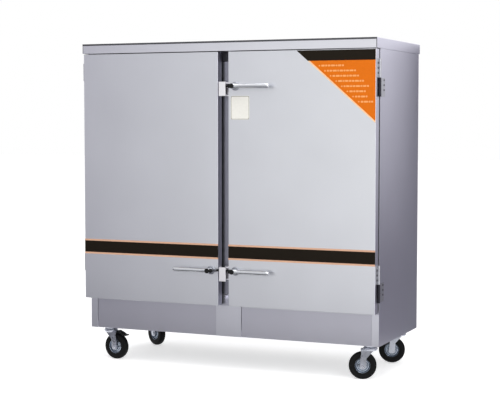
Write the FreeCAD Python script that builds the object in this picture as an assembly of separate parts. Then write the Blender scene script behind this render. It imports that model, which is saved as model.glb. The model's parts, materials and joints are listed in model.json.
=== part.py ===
import FreeCAD, Part
import math
import os

# Rice steamer cabinet: two insulated doors over two steam chambers, on four swivel castors.
# Millimetres. X to the right, Y to the back, Z up. The origin is on the floor, in the middle of the
# whole cabinet with its levers and its rear fittings.

V = FreeCAD.Vector
UP = V(0, 0, 1)

# Cabinet body
body_width = 1450.0
body_depth = 590.0
plinth_bottom_z = 160.0
lid_top_z = 1513.0
skin = 1.0
back_skin = 0.8
wall_thickness = 46.0
side_flange = 15.0

# Lid
lid_lip_height = 45.0
lid_sheet = 1.2
lid_side_clearance = 2.0
lid_rear_clearance = 7.0
lid_front_overhang = 3.0
edge_strip_height = 8.0
edge_strip_thickness = 1.5

# Front frame and mullion
frame_depth = 20.0
frame_wall = 1.2
header_drop = 47.0
sill_rise = 49.0
sill_drop = 6.0

# Chambers
mullion_width = 98.0
liner_sheet = 0.8
floor_opening_margin = 12.0

# Plinth and base
plinth_depth = 28.0
corner_post_width = 33.0
centre_post_width = 126.0
plinth_panel_sheet = 0.8
plinth_panel_recess = 4.0
plinth_panel_gap = 1.5
plinth_panel_return = 10.0
kick_rail_height = 30.0
base_lift = 6.0
base_sheet = 2.0
base_channel_width = 58.0
base_channel_outset = 11.0
base_channel_height = 25.0
base_channel_wall = 1.5
rear_post_width = 30.0

# Doors
door_bottom_z = 309.0
door_top_clearance = 3.0
door_thickness = 40.0
door_side_inset = 0.5
door_gap = 51.0
door_skin_sheet = 0.8
door_inner_sheet = 0.6
door_dish_depth = 9.0
door_dish_inset = 66.0
seal_gap = 17.0
seal_inset = 3.0
seal_width = 19.0
seal_clearance = 0.3
soft_clearance = 0.3

# Door graphics
film_thickness = 0.4
stripe_rise = 213.0
stripe_height = 70.0
label_width = 365.0
label_height = 318.0
label_edge_inset = 3.0
plate_width = 92.0
plate_height = 107.0
plate_thickness = 0.5
plate_corner = 9.0
plate_edge_inset = 12.5
plate_drop = 200.0

# Hinges
hinge_upper_drop = 125.0
hinge_lower_rise = 131.0
hinge_leaf_height = 82.0
hinge_leaf_thickness = 3.0
hinge_knuckle_radius = 5.5
hinge_axis_offset = 6.0
hinge_axis_inset = 6.0
hinge_pin_radius = 3.5
hinge_pin_clearance = 0.05
hinge_half_gap = 0.3
hinge_frame_leaf_reach = 58.0
hinge_screw_radius = 4.5
hinge_screw_height = 1.8
hinge_screw_pitch = 21.5
hinge_screw_setback = 42.0
hinge_screw_rise = 10.0

# Lever latches
latch_inset = 36.0
latch_upper_drop = 156.0
latch_lower_rise = 163.0
rosette_radius = 20.0
rosette_height = 8.0
spindle_radius = 5.0
spindle_clearance = 0.05
lever_face_gap = 0.3
hub_radius = 12.0
grip_standoff = 36.0
grip_root_radius = 9.5
grip_end_radius = 11.0
grip_length = 178.0
grip_rise = 0.0
hub_cap_radius = 11.0
hub_cap_height = 3.0
nose_reach = 52.0
nose_half_height = 5.5
nose_door_gap = 1.0
nose_thickness = 5.0
nose_root_thickness = 5.7

# Keepers
keeper_width = 33.0
keeper_height = 64.0
keeper_head_thickness = 5.0
keeper_stem_width = 14.0
keeper_stem_height = 50.0
keeper_foot_thickness = 3.0
keeper_nose_gap = 0.5
keeper_upper_drop = 12.0
keeper_lower_drop = 17.0

# Castors
castor_inset_x = 64.0
castor_inset_y = 76.0
castor_plate_size = 92.0
castor_plate_thickness = 4.0
wheel_radius = 62.5
tyre_width = 32.0
tyre_inner_radius = 41.0
tyre_shoulder = 9.0
rim_width = 29.0
hub_boss_radius = 15.0
wheel_web = 5.0
axle_radius = 5.0
axle_clearance = 0.05
axle_nut_radius = 9.0
axle_nut_height = 5.0
castor_trail = 34.0
fork_inner_width = 37.0
fork_leg = 3.5
fork_crown_thickness = 4.0
fork_crown_front = 30.0
fork_crown_rear = 10.0
fork_crown_corner = 12.0
fork_leg_setback = 8.0
fork_leg_inset = 2.0
fork_eye_radius = 15.0
fork_hub_gap = 0.3
race_radius = 30.0
race_height = 8.0
race_gap = 0.4
kingpin_radius = 6.0
kingpin_clearance = 0.05
kingpin_nut_radius = 10.0
kingpin_nut_height = 5.0
kingpin_nut_gap = 0.3
wheel_crown_gap = 8.5

# Castor brakes, on the two left castors
pedal_gap = 7.5
pedal_thickness = 6.0
pedal_width = 34.0
pedal_pin_radius = 3.0
pedal_pin_clearance = 0.05
pedal_pin_back = 13.0
pedal_pin_drop = 4.0
pedal_eye_wall = 3.0
pedal_eye_room = 3.5
brake_ear_radius = 6.0
brake_ear_root = 4.0
brake_ear_drop = 8.0
pedal_start_deg = 80.0
pedal_end_deg = 50.0
pedal_tab_length = 14.0

# Tray racks and trays
rack_post_width = 16.0
rack_post_thickness = 6.0
rack_post_setback = 40.0
ledge_width = 24.0
ledge_thickness = 1.5
ledge_top_room = 50.0
ledge_first_rise = 62.0
ledge_pitch = 82.0
ledge_front_setback = 20.0
ledge_rear_setback = 20.0
tray_side_clearance = 15.0
tray_depth = 400.0
tray_height = 48.0
tray_sheet = 0.7
tray_rim = 8.0
tray_front_setback = 55.0
tray_level_step = 3

# Water tanks, heaters and float
tank_side_clearance = 15.0
tank_depth = 380.0
tank_height = 130.0
tank_sheet = 1.0
tank_flange = 12.0
tank_front_setback = 60.0
heater_flange_radius = 48.0
heater_flange_thickness = 6.0
heater_hole_radius = 38.0
heater_tube_radius = 5.0
heater_length = 290.0
heater_loop_width = 44.0
heater_loop_pitch = 17.0
heater_rise = 45.0
heater_cap_length = 38.0
float_side_inset = 75.0
float_valve_rise = 86.0
float_valve_radius = 13.0
float_valve_length = 42.0
float_valve_bore = 4.0
float_nozzle_radius = 9.0
float_nozzle_length = 16.0
float_arm_length = 120.0
float_arm_radius = 3.0
float_radius = 25.0
float_rest_deg = 20.0
float_pin_radius = 2.5
float_pin_clearance = 0.05
float_ear_thickness = 3.0
float_ear_gap = 8.0
float_pivot_reach = 24.0

# Pipework, drain valve, vents and terminal box
supply_pipe_radius = 8.0
supply_pipe_bore = 6.0
supply_nipple_radius = 10.5
supply_reach = 28.0
drain_pipe_radius = 13.0
drain_pipe_bore = 10.0
drain_pipe_rise = 26.0
drain_valve_radius = 19.0
drain_valve_gap = 14.0
drain_valve_length = 46.0
drain_outlet_length = 22.0
drain_stem_radius = 5.0
drain_stem_height = 14.0
drain_lever_length = 72.0
drain_lever_width = 16.0
drain_lever_thickness = 4.0
drain_bore_clearance = 0.05
vent_radius = 19.0
vent_wall = 1.5
vent_reach = 50.0
vent_drop = 60.0
vent_collar_radius = 31.0
vent_collar_thickness = 2.0
panel_hole_clearance = 0.5
terminal_width = 170.0
terminal_height = 130.0
terminal_depth = 54.0
terminal_wall = 2.0
terminal_side_inset = 255.0
terminal_rise = 111.0
gland_radius = 13.0
gland_bore_radius = 6.5
gland_length = 24.0

# Places worked out from the sizes
half_width = body_width / 2
body_top_z = lid_top_z - lid_sheet
lid_lip_z = lid_top_z - lid_lip_height
lever_reach = grip_standoff + grip_end_radius + 1.0 + hub_cap_height
rear_reach = max(drain_valve_gap + drain_valve_length + drain_outlet_length,
                 vent_reach, supply_reach, terminal_depth)
overall_depth = lever_reach + door_thickness + seal_gap + body_depth + rear_reach
door_front_y = lever_reach - overall_depth / 2
door_rear_y = door_front_y + door_thickness
face_y = door_rear_y + seal_gap
back_y = face_y + body_depth
back_inner_y = back_y - back_skin
liner_front_y = face_y + frame_depth
liner_rear_y = back_y - wall_thickness
chamber_top_z = lid_lip_z - header_drop
chamber_floor_z = door_bottom_z + sill_rise
sill_bottom_z = door_bottom_z - sill_drop
door_top_z = lid_lip_z - door_top_clearance
hinge_upper_z = door_top_z - hinge_upper_drop
hinge_lower_z = door_bottom_z + hinge_lower_rise
latch_upper_z = door_top_z - latch_upper_drop
latch_lower_z = door_bottom_z + latch_lower_rise
stripe_bottom_z = door_bottom_z + stripe_rise
plate_top_z = door_top_z - plate_drop
terminal_z = door_bottom_z + terminal_rise
ledge_room = chamber_top_z - chamber_floor_z - ledge_first_rise - ledge_top_room
ledge_count = 1 + int(ledge_room // ledge_pitch)
tray_levels = tuple(range(0, ledge_count - 2, tray_level_step))
chamber_width = (body_width - 2 * wall_thickness - mullion_width) / 2
tray_width = chamber_width - 2 * tray_side_clearance
tank_width = chamber_width - 2 * tank_side_clearance
terminal_x = half_width - terminal_side_inset
chamber_middle_x = mullion_width / 2 + chamber_width / 2
base_z = plinth_bottom_z + base_lift
base_top_z = base_z + base_sheet
inner_half_width = half_width - skin
frame_leaf_x = half_width
hinge_axis_x = half_width + hinge_axis_offset
hinge_axis_y = door_rear_y - hinge_axis_inset
door_lock_x = door_gap / 2
door_hinge_x = half_width - door_side_inset
latch_x = door_lock_x + latch_inset
tank_front_y = liner_front_y + tank_front_setback
tank_rear_y = tank_front_y + tank_depth
tank_top_z = chamber_floor_z - liner_sheet
tank_bottom_z = tank_top_z - tank_height
castor_x = half_width - castor_inset_x
castor_front_y = face_y + castor_inset_y
castor_rear_y = back_y - castor_inset_y
float_x = -chamber_middle_x - tank_width / 2 + float_side_inset
float_z = tank_bottom_z + float_valve_rise
float_pivot_y = tank_rear_y - tank_sheet - float_nozzle_length - float_pivot_reach
drain_z = tank_bottom_z + drain_pipe_rise
drain_valve_y = back_y + drain_valve_gap + drain_valve_length / 2
vent_z = chamber_top_z - vent_drop
rack_inner_offset = chamber_width / 2 - rack_post_thickness


def block(x0, x1, y0, y1, z0, z1):
    return Part.makeBox(x1 - x0, y1 - y0, z1 - z0, V(x0, y0, z0))


def rod(x, y, z, along, radius, length):
    return Part.makeCylinder(radius, length, V(x, y, z), along)


def join(shapes):
    first = shapes[0]
    if len(shapes) == 1:
        return first
    return first.multiFuse(shapes[1:]).removeSplitter()


def mirror_x(shape):
    return shape.mirror(V(0, 0, 0), V(1, 0, 0))


def box_tube(x0, x1, y0, y1, z0, z1, wall, along):
    # A rectangular tube, open at both ends along X, Y or Z.
    dx = 0 if along == "x" else wall
    dy = 0 if along == "y" else wall
    dz = 0 if along == "z" else wall
    bore = block(x0 + dx, x1 - dx, y0 + dy, y1 - dy, z0 + dz, z1 - dz)
    return block(x0, x1, y0, y1, z0, z1).cut(bore)


def prism_xz(points, y0, y1):
    # A flat outline in X and Z, made solid from y0 to y1.
    corners = [V(x, y0, z) for x, z in points]
    face = Part.Face(Part.makePolygon(corners + corners[:1]))
    return face.extrude(V(0, y1 - y0, 0))


# Body panels

def side_panel():
    # Folded sheet: outer face, a flange for the back panel and a hem at the bottom.
    plate = block(inner_half_width, half_width, face_y, back_inner_y, plinth_bottom_z, body_top_z)
    rear = block(half_width - side_flange, half_width, back_inner_y - skin, back_inner_y,
                 plinth_bottom_z, body_top_z)
    hem = block(half_width - side_flange, half_width, face_y + plinth_depth, back_inner_y,
                plinth_bottom_z, plinth_bottom_z + skin)
    return join([plate, rear, hem])


def back_panel():
    # Flat sheet with holes for the two vents, the supply, the drain and the mains lead.
    sheet = block(-half_width, half_width, back_inner_y, back_y, plinth_bottom_z, body_top_z)
    holes = [rod(side * chamber_middle_x, back_inner_y - 1, vent_z, V(0, 1, 0),
                 vent_radius + panel_hole_clearance, back_skin + 2) for side in (-1, 1)]
    holes.append(rod(float_x, back_inner_y - 1, float_z, V(0, 1, 0),
                     supply_pipe_radius + panel_hole_clearance, back_skin + 2))
    holes.append(rod(0, back_inner_y - 1, drain_z, V(0, 1, 0),
                     drain_pipe_radius + panel_hole_clearance, back_skin + 2))
    return sheet.cut(holes)


def lid_pan():
    # Folded cover: a top sheet with lips on all four sides, open underneath.
    x1 = inner_half_width + skin + lid_side_clearance
    y0 = door_front_y - lid_front_overhang + lid_sheet
    y1 = back_y + lid_rear_clearance
    outer = block(-x1 - lid_sheet, x1 + lid_sheet, y0 - lid_sheet, y1 + lid_sheet, lid_lip_z, lid_top_z)
    return outer.cut(block(-x1, x1, y0, y1, lid_lip_z - 1, body_top_z))


def lid_front_strip():
    # Black trim strip stuck along the top edge of the lid's front lip.
    x1 = half_width + lid_side_clearance + lid_sheet
    y0 = door_front_y - lid_front_overhang
    return block(-x1, x1, y0 - edge_strip_thickness, y0, lid_top_z - edge_strip_height, lid_top_z)


def front_frame():
    # Four box tubes round the pair of door openings.
    w = frame_wall
    y1 = face_y + frame_depth
    chamber_outer = half_width - wall_thickness
    header = box_tube(-inner_half_width, inner_half_width, face_y, y1, chamber_top_z, body_top_z, w, "x")
    sill = box_tube(-inner_half_width, inner_half_width, face_y, y1, sill_bottom_z, chamber_floor_z, w, "x")
    jamb = box_tube(chamber_outer, inner_half_width, face_y, y1, chamber_floor_z, chamber_top_z, w, "z")
    return [header, sill, jamb, mirror_x(jamb)]


def centre_mullion():
    x1 = mullion_width / 2
    return box_tube(-x1, x1, face_y, face_y + frame_depth, chamber_floor_z, chamber_top_z, frame_wall, "z")


def chamber_liner():
    # Stainless box, open to the front, with a steam opening in its floor over the water tank.
    x0 = mullion_width / 2
    x1 = x0 + chamber_width
    s = liner_sheet
    outer = block(x0 - s, x1 + s, liner_front_y, liner_rear_y + s, chamber_floor_z - s, chamber_top_z + s)
    hollow = block(x0, x1, liner_front_y - 1, liner_rear_y, chamber_floor_z, chamber_top_z)
    m = floor_opening_margin
    opening = block(chamber_middle_x - tank_width / 2 + m, chamber_middle_x + tank_width / 2 - m,
                    tank_front_y + m, tank_rear_y - m, chamber_floor_z - s - 1, chamber_floor_z + 1)
    vent = rod(chamber_middle_x, liner_rear_y - 1, vent_z, V(0, 1, 0), vent_radius, s + 2)
    return outer.cut([hollow, opening, vent])


def body_insulation():
    # Five slabs of stiff foam: two sides, the middle, the back and the top.
    s = liner_sheet
    x_in = half_width - wall_thickness + s
    y1 = liner_rear_y + s
    z0 = chamber_floor_z
    z1 = chamber_top_z + s
    side = block(x_in, inner_half_width, liner_front_y, y1, z0, z1)
    middle = block(-mullion_width / 2 + s, mullion_width / 2 - s, liner_front_y, y1, z0, z1)
    top = block(-inner_half_width, inner_half_width, liner_front_y, y1, z1, body_top_z)
    back = block(-inner_half_width, inner_half_width, y1, back_inner_y - skin, z0, body_top_z)
    vents = [rod(side_sign * chamber_middle_x, y1 - 1, vent_z, V(0, 1, 0), vent_radius,
                 wall_thickness) for side_sign in (-1, 1)]
    return [side, mirror_x(side), middle, top, back.cut(vents)]


# Plinth and base

def plinth_frame():
    # Posts that carry the sill and the chambers, and the rail behind the kick panels.
    y1 = face_y + plinth_depth
    corner = box_tube(inner_half_width - corner_post_width, inner_half_width, face_y, y1,
                      plinth_bottom_z, sill_bottom_z, frame_wall, "z")
    centre = box_tube(-centre_post_width / 2, centre_post_width / 2, face_y, y1,
                      plinth_bottom_z, sill_bottom_z, frame_wall, "z")
    rail_y = face_y + plinth_panel_recess + plinth_panel_sheet
    rail = box_tube(centre_post_width / 2, inner_half_width - corner_post_width, rail_y, y1,
                    plinth_bottom_z, plinth_bottom_z + kick_rail_height, frame_wall, "x")
    rear_y = back_inner_y - skin
    rear = box_tube(inner_half_width - rear_post_width, inner_half_width, rear_y - rear_post_width, rear_y,
                    base_top_z, chamber_floor_z - liner_sheet, frame_wall, "z")
    bearer = box_tube(-inner_half_width + rear_post_width, inner_half_width - rear_post_width,
                      rear_y - rear_post_width, rear_y,
                      chamber_floor_z - liner_sheet - rear_post_width, chamber_floor_z - liner_sheet,
                      frame_wall, "x")
    return [corner, mirror_x(corner), centre, rail, mirror_x(rail), rear, mirror_x(rear), bearer]


def plinth_panels():
    # Two removable kick panels, each a sheet with returns up its sides.
    x0 = centre_post_width / 2 + plinth_panel_gap
    x1 = inner_half_width - corner_post_width - plinth_panel_gap
    y0 = face_y + plinth_panel_recess
    z0 = plinth_bottom_z
    z1 = sill_bottom_z
    s = plinth_panel_sheet
    sheet = block(x0, x1, y0, y0 + s, z0, z1)
    y2 = y0 + s + plinth_panel_return
    z2 = z0 + kick_rail_height + 1
    left = block(x0, x0 + s, y0, y2, z2, z1)
    right = block(x1 - s, x1, y0, y2, z2, z1)
    panel = join([sheet, left, right])
    return [panel, mirror_x(panel)]


def base_chassis():
    # Floor plate with a welded box channel over each pair of castors.
    y0 = face_y + plinth_depth
    y1 = back_inner_y - skin
    plate = block(-inner_half_width, inner_half_width, y0, y1, base_z, base_top_z)
    channel_x = castor_x - base_channel_outset
    channel = box_tube(channel_x - base_channel_width / 2, channel_x + base_channel_width / 2, y0, y1,
                       base_top_z, base_top_z + base_channel_height, base_channel_wall, "y")
    post = block(inner_half_width - rear_post_width, inner_half_width, y1 - rear_post_width, y1,
                 base_top_z, base_top_z + base_channel_height)
    return join([plate, channel.cut(post), mirror_x(channel.cut(post))])


# Water, heat and steam

def water_tank():
    # Deep pan hung under the chamber floor, with a flange, a heater hole and pipe holes.
    x0 = chamber_middle_x - tank_width / 2
    x1 = chamber_middle_x + tank_width / 2
    t = tank_sheet
    f = tank_flange
    pan = block(x0, x1, tank_front_y, tank_rear_y, tank_bottom_z, tank_top_z)
    rim = block(x0 - f, x1 + f, tank_front_y - f, tank_rear_y + f, tank_top_z - t, tank_top_z)
    hollow = block(x0 + t, x1 - t, tank_front_y + t, tank_rear_y - t, tank_bottom_z + t, tank_top_z + 1)
    heater = rod(chamber_middle_x, tank_rear_y - t - 1, tank_bottom_z + heater_rise, V(0, 1, 0),
                 heater_hole_radius, t + 2)
    drain = rod(x0 - 1, tank_middle_y(), drain_z, V(1, 0, 0), drain_pipe_radius, t + 2)
    return join([pan, rim]).cut([hollow, heater, drain])


def tank_middle_y():
    return (tank_front_y + tank_rear_y) / 2


def water_tanks():
    right = water_tank()
    left = mirror_x(right)
    nozzle = rod(float_x, tank_rear_y - tank_sheet - 1, float_z, V(0, 1, 0), float_nozzle_radius,
                 tank_sheet + 2)
    return [right, left.cut(nozzle)]


def heating_element():
    # Three hairpin tubes on one flange, with a cap over the terminals.
    z = tank_bottom_z + heater_rise
    x = chamber_middle_x
    flange = rod(x, tank_rear_y, z, V(0, 1, 0), heater_flange_radius, heater_flange_thickness)
    cap_y = tank_rear_y + heater_flange_thickness
    cap = rod(x, cap_y, z, V(0, 1, 0), heater_flange_radius * 0.72, heater_cap_length)
    pieces = [flange, cap]
    half = heater_loop_width / 2
    bend_y = tank_rear_y - heater_length
    for row in (-1, 0, 1):
        loop_z = z + row * heater_loop_pitch
        for side in (-1, 1):
            pieces.append(rod(x + side * half, bend_y, loop_z, V(0, 1, 0), heater_tube_radius,
                              heater_length + 1))
        bend = Part.makeTorus(half, heater_tube_radius, V(x, bend_y, loop_z), UP)
        front_half = block(x - 2 * half, x + 2 * half, bend_y - 2 * half, bend_y,
                           loop_z - 2 * heater_tube_radius, loop_z + 2 * heater_tube_radius)
        pieces.append(bend.common(front_half))
    return join(pieces)


def float_valve():
    # Brass body behind the tank wall, a nozzle through it and two ears for the arm.
    body = rod(float_x, tank_rear_y, float_z, V(0, 1, 0), float_valve_radius, float_valve_length)
    nozzle = rod(float_x, tank_rear_y - tank_sheet - float_nozzle_length, float_z, V(0, 1, 0),
                 float_nozzle_radius, float_nozzle_length + tank_sheet + 1)
    ear_y0 = float_pivot_y - 6
    ear_y1 = tank_rear_y - tank_sheet - float_nozzle_length + 4
    pieces = [body, nozzle]
    for side in (-1, 1):
        x0 = float_x + side * float_ear_gap / 2
        x1 = x0 + side * float_ear_thickness
        pieces.append(block(min(x0, x1), max(x0, x1), ear_y0, ear_y1, float_z - 6, float_z + 6))
    pin_half = float_ear_gap / 2 + float_ear_thickness
    pieces.append(rod(float_x - pin_half, float_pivot_y, float_z, V(1, 0, 0), float_pin_radius, 2 * pin_half))
    bore = rod(float_x, tank_rear_y - 8, float_z, V(0, 1, 0), float_valve_bore, float_valve_length + 9)
    return join(pieces).cut(bore)


def float_arm():
    # Arm with an eye on the pin and a round float at its end, hanging at its lower stop.
    eye_half = float_ear_gap / 2 - soft_clearance
    eye = rod(float_x - eye_half, float_pivot_y, float_z, V(1, 0, 0), float_pin_radius + 3, 2 * eye_half)
    arm = rod(float_x, float_pivot_y, float_z, V(0, -1, 0), float_arm_radius, float_arm_length)
    ball = Part.makeSphere(float_radius, V(float_x, float_pivot_y - float_arm_length, float_z))
    bore = rod(float_x - eye_half - 1, float_pivot_y, float_z, V(1, 0, 0),
               float_pin_radius + float_pin_clearance, 2 * eye_half + 2)
    whole = join([eye, arm, ball]).cut(bore)
    return whole.rotated(V(float_x, float_pivot_y, float_z), V(1, 0, 0), float_rest_deg)


def water_pipework():
    # The supply line to the float valve, and the balance pipe with the drain line from its middle.
    supply_start = tank_rear_y + float_valve_length
    supply = join([rod(float_x, supply_start, float_z, V(0, 1, 0), supply_pipe_radius,
                       back_y - supply_start),
                   rod(float_x, back_y, float_z, V(0, 1, 0), supply_nipple_radius, supply_reach)])
    supply_bore = rod(float_x, supply_start - 1, float_z, V(0, 1, 0), supply_pipe_bore,
                      back_y + supply_reach - supply_start + 2)
    y = tank_middle_y()
    x1 = chamber_middle_x - tank_width / 2 + tank_sheet + 3
    balance = rod(-x1, y, drain_z, V(1, 0, 0), drain_pipe_radius, 2 * x1)
    line_length = back_y + drain_valve_gap - y
    line = rod(0, y, drain_z, V(0, 1, 0), drain_pipe_radius, line_length)
    balance_bore = rod(-x1 - 1, y, drain_z, V(1, 0, 0), drain_pipe_bore, 2 * x1 + 2)
    line_bore = rod(0, y, drain_z, V(0, 1, 0), drain_pipe_bore, line_length + 1)
    drain = join([balance, line]).cut([balance_bore, line_bore])
    return [supply.cut(supply_bore), drain]


def drain_valve():
    # Ball valve body with a threaded outlet and the stem that carries its lever.
    y0 = back_y + drain_valve_gap
    body = rod(0, y0, drain_z, V(0, 1, 0), drain_valve_radius, drain_valve_length)
    outlet = rod(0, y0 + drain_valve_length, drain_z, V(0, 1, 0), drain_pipe_radius, drain_outlet_length)
    bonnet = rod(0, drain_valve_y, drain_z, UP, drain_stem_radius + 4, drain_valve_radius + 4)
    stem = rod(0, drain_valve_y, drain_z, UP, drain_stem_radius,
               drain_valve_radius + drain_stem_height)
    bore = rod(0, y0 - 1, drain_z, V(0, 1, 0), drain_pipe_bore,
               drain_valve_length + drain_outlet_length + 2)
    shell = join([body, outlet, bonnet, stem])
    ball = Part.makeSphere(drain_pipe_bore + 3, V(0, drain_valve_y, drain_z))
    return shell.cut(bore).fuse(ball).removeSplitter()


def drain_lever():
    # Flat handle across the pipe, which is the closed position.
    z = drain_z + drain_valve_radius + 4 + soft_clearance
    half = drain_lever_width / 2
    y = drain_valve_y
    bar = block(0, drain_lever_length, y - half, y + half, z, z + drain_lever_thickness)
    eye = rod(0, y, z, UP, half, drain_lever_thickness)
    bore = rod(0, y, z - 1, UP, drain_stem_radius + drain_bore_clearance, drain_lever_thickness + 2)
    return join([bar, eye]).cut(bore)


def steam_vent():
    # Pipe from the chamber's rear wall through the back panel, with a collar outside.
    y0 = liner_rear_y
    length = back_y + vent_reach - y0
    pipe = rod(chamber_middle_x, y0, vent_z, V(0, 1, 0), vent_radius, length)
    collar = rod(chamber_middle_x, back_y, vent_z, V(0, 1, 0), vent_collar_radius, vent_collar_thickness)
    bore = rod(chamber_middle_x, y0 - 1, vent_z, V(0, 1, 0), vent_radius - vent_wall, length + 2)
    return join([pipe, collar]).cut(bore)


def terminal_box():
    # Steel junction box on the back, its cover, and the gland for the mains lead.
    x0 = terminal_x - terminal_width / 2
    x1 = terminal_x + terminal_width / 2
    z0 = terminal_z
    z1 = terminal_z + terminal_height
    w = terminal_wall
    cover_y = back_y + terminal_depth - w
    shell = block(x0, x1, back_y, cover_y, z0, z1)
    hollow = block(x0 + w, x1 - w, back_y + w, cover_y + 1, z0 + w, z1 - w)
    gland_y = back_y + terminal_depth / 2
    entry = rod(terminal_x, gland_y, z0 - 1, UP, gland_bore_radius, w + 2)
    cover = block(x0, x1, cover_y, cover_y + w, z0, z1)
    gland = rod(terminal_x, gland_y, z0, V(0, 0, -1), gland_radius, gland_length)
    gland_bore = rod(terminal_x, gland_y, z0 + 1, V(0, 0, -1), gland_bore_radius, gland_length + 2)
    return [shell.cut([hollow, entry]), cover, gland.cut(gland_bore)]


# Racks and trays

def tray_racks():
    # Four flat posts in each chamber, with as many ledges a side as its height takes.
    solids = []
    rack_y0 = liner_front_y + rack_post_setback
    rack_y1 = liner_rear_y - rack_post_setback
    for side in (-1, 1):
        wall_x = chamber_middle_x + side * chamber_width / 2
        post_x = wall_x - side * rack_post_thickness
        ledge_x = post_x - side * ledge_width
        for y in (rack_y0, rack_y1 - rack_post_width):
            solids.append(block(min(wall_x, post_x), max(wall_x, post_x), y, y + rack_post_width,
                                chamber_floor_z, chamber_top_z))
        for level in range(ledge_count):
            z = chamber_floor_z + ledge_first_rise + level * ledge_pitch
            solids.append(block(min(post_x, ledge_x), max(post_x, ledge_x),
                                liner_front_y + ledge_front_setback, liner_rear_y - ledge_rear_setback,
                                z - ledge_thickness, z))
    return solids + [mirror_x(s) for s in solids]


def tray():
    # Shallow stainless tray with a turned-out rim, standing on its pair of ledges.
    x0 = chamber_middle_x - tray_width / 2
    x1 = chamber_middle_x + tray_width / 2
    y0 = liner_front_y + tray_front_setback
    y1 = y0 + tray_depth
    r = tray_rim
    t = tray_sheet
    rim = block(x0, x1, y0, y1, tray_height - t, tray_height)
    pan = block(x0 + r, x1 - r, y0 + r, y1 - r, 0, tray_height)
    hollow = block(x0 + r + t, x1 - r - t, y0 + r + t, y1 - r - t, t, tray_height + 1)
    return join([rim, pan]).cut(hollow)


def trays():
    solids = []
    for level in tray_levels:
        placed = tray()
        placed.translate(V(0, 0, chamber_floor_z + ledge_first_rise + level * ledge_pitch))
        solids += [placed, mirror_x(placed)]
    return solids


# Doors

def door_skin():
    # Outer pan of the right door: the face and four returns.
    s = door_skin_sheet
    outer = block(door_lock_x, door_hinge_x, door_front_y, door_rear_y, door_bottom_z, door_top_z)
    hollow = block(door_lock_x + s, door_hinge_x - s, door_front_y + s, door_rear_y + 1,
                   door_bottom_z + s, door_top_z - s)
    return outer.cut(hollow)


def door_dish(shrink, depth):
    # The pressed field that stands proud of the door's inner sheet.
    inset = door_dish_inset + shrink
    return block(door_lock_x + inset, door_hinge_x - inset, door_rear_y - 5, door_rear_y + depth,
                 door_bottom_z + inset, door_top_z - inset)


def door_inner():
    # Inner sheet of the door with its pressed field.
    s = door_skin_sheet
    t = door_inner_sheet
    sheet = block(door_lock_x + s, door_hinge_x - s, door_rear_y - t, door_rear_y,
                  door_bottom_z + s, door_top_z - s)
    raised = door_dish(0, door_dish_depth)
    behind = block(door_lock_x, door_hinge_x, door_rear_y - 6, door_rear_y - t, door_bottom_z, door_top_z)
    field = raised.cut(behind)
    return join([sheet, field]).cut(door_dish(t, door_dish_depth - t))


def door_core():
    # Foam that fills the door between its two sheets, and the pressed field.
    s = door_skin_sheet
    slab = block(door_lock_x + s, door_hinge_x - s, door_front_y + s, door_rear_y - door_inner_sheet,
                 door_bottom_z + s, door_top_z - s)
    return join([slab, door_dish(door_inner_sheet, door_dish_depth - door_inner_sheet)])


def door_gasket():
    # Black rubber ring round the back of the door, just clear of the frame.
    i = seal_inset
    w = seal_width
    y0 = door_rear_y
    y1 = face_y - seal_clearance
    outer = block(door_lock_x + i, door_hinge_x - i, y0, y1, door_bottom_z + i, door_top_z - i)
    inner = block(door_lock_x + i + w, door_hinge_x - i - w, y0 - 1, y1 + 1,
                  door_bottom_z + i + w, door_top_z - i - w)
    return outer.cut(inner)


def door_stripe():
    # Printed film band across the whole door face.
    return block(door_lock_x, door_hinge_x, door_front_y - film_thickness, door_front_y,
                 stripe_bottom_z, stripe_bottom_z + stripe_height)


def corner_label():
    # Three-cornered film in the top outer corner of the right door.
    x1 = door_hinge_x - label_edge_inset
    z1 = door_top_z - label_edge_inset
    return prism_xz([(x1 - label_width, z1), (x1, z1), (x1, z1 - label_height)],
                    door_front_y - film_thickness, door_front_y)


def blank_plate():
    # Plain rounded plate beside the upper lever.
    x0 = door_lock_x + plate_edge_inset
    sheet = block(x0, x0 + plate_width, door_front_y - plate_thickness, door_front_y,
                  plate_top_z - plate_height, plate_top_z)
    corners = [e for e in sheet.Edges if abs(e.tangentAt(e.FirstParameter).y) > 0.9]
    return sheet.makeFillet(plate_corner, corners)


# Hinges

def screw_heads(x, y, z_list):
    # Low round heads on a face that looks along +X.
    solids = []
    for z in z_list:
        head = rod(x, y, z, V(1, 0, 0), hinge_screw_radius, hinge_screw_height)
        rim = [e for e in head.Edges if e.Curve.TypeId == "Part::GeomCircle"
               and e.CenterOfMass.x > x + hinge_screw_height / 2]
        solids.append(head.makeFillet(hinge_screw_height * 0.6, rim))
    return solids


def hinge_frame_leaf(z):
    # Lower half of a lift-off hinge: leaf on the side panel, knuckle and fixed pin.
    z1 = z - hinge_half_gap / 2
    z0 = z1 - hinge_leaf_height
    leaf = block(frame_leaf_x, frame_leaf_x + hinge_leaf_thickness, hinge_axis_y,
                 face_y + hinge_frame_leaf_reach, z0, z1)
    knuckle = rod(hinge_axis_x, hinge_axis_y, z0, UP, hinge_knuckle_radius, hinge_leaf_height)
    pin = rod(hinge_axis_x, hinge_axis_y, z1, UP, hinge_pin_radius, hinge_leaf_height * 0.7)
    middle = (z0 + z1) / 2 + hinge_screw_rise
    heads = screw_heads(frame_leaf_x + hinge_leaf_thickness, face_y + hinge_screw_setback,
                        [middle + k * hinge_screw_pitch for k in (-1, 0, 1)])
    return [join([leaf, knuckle, pin])] + heads


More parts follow.
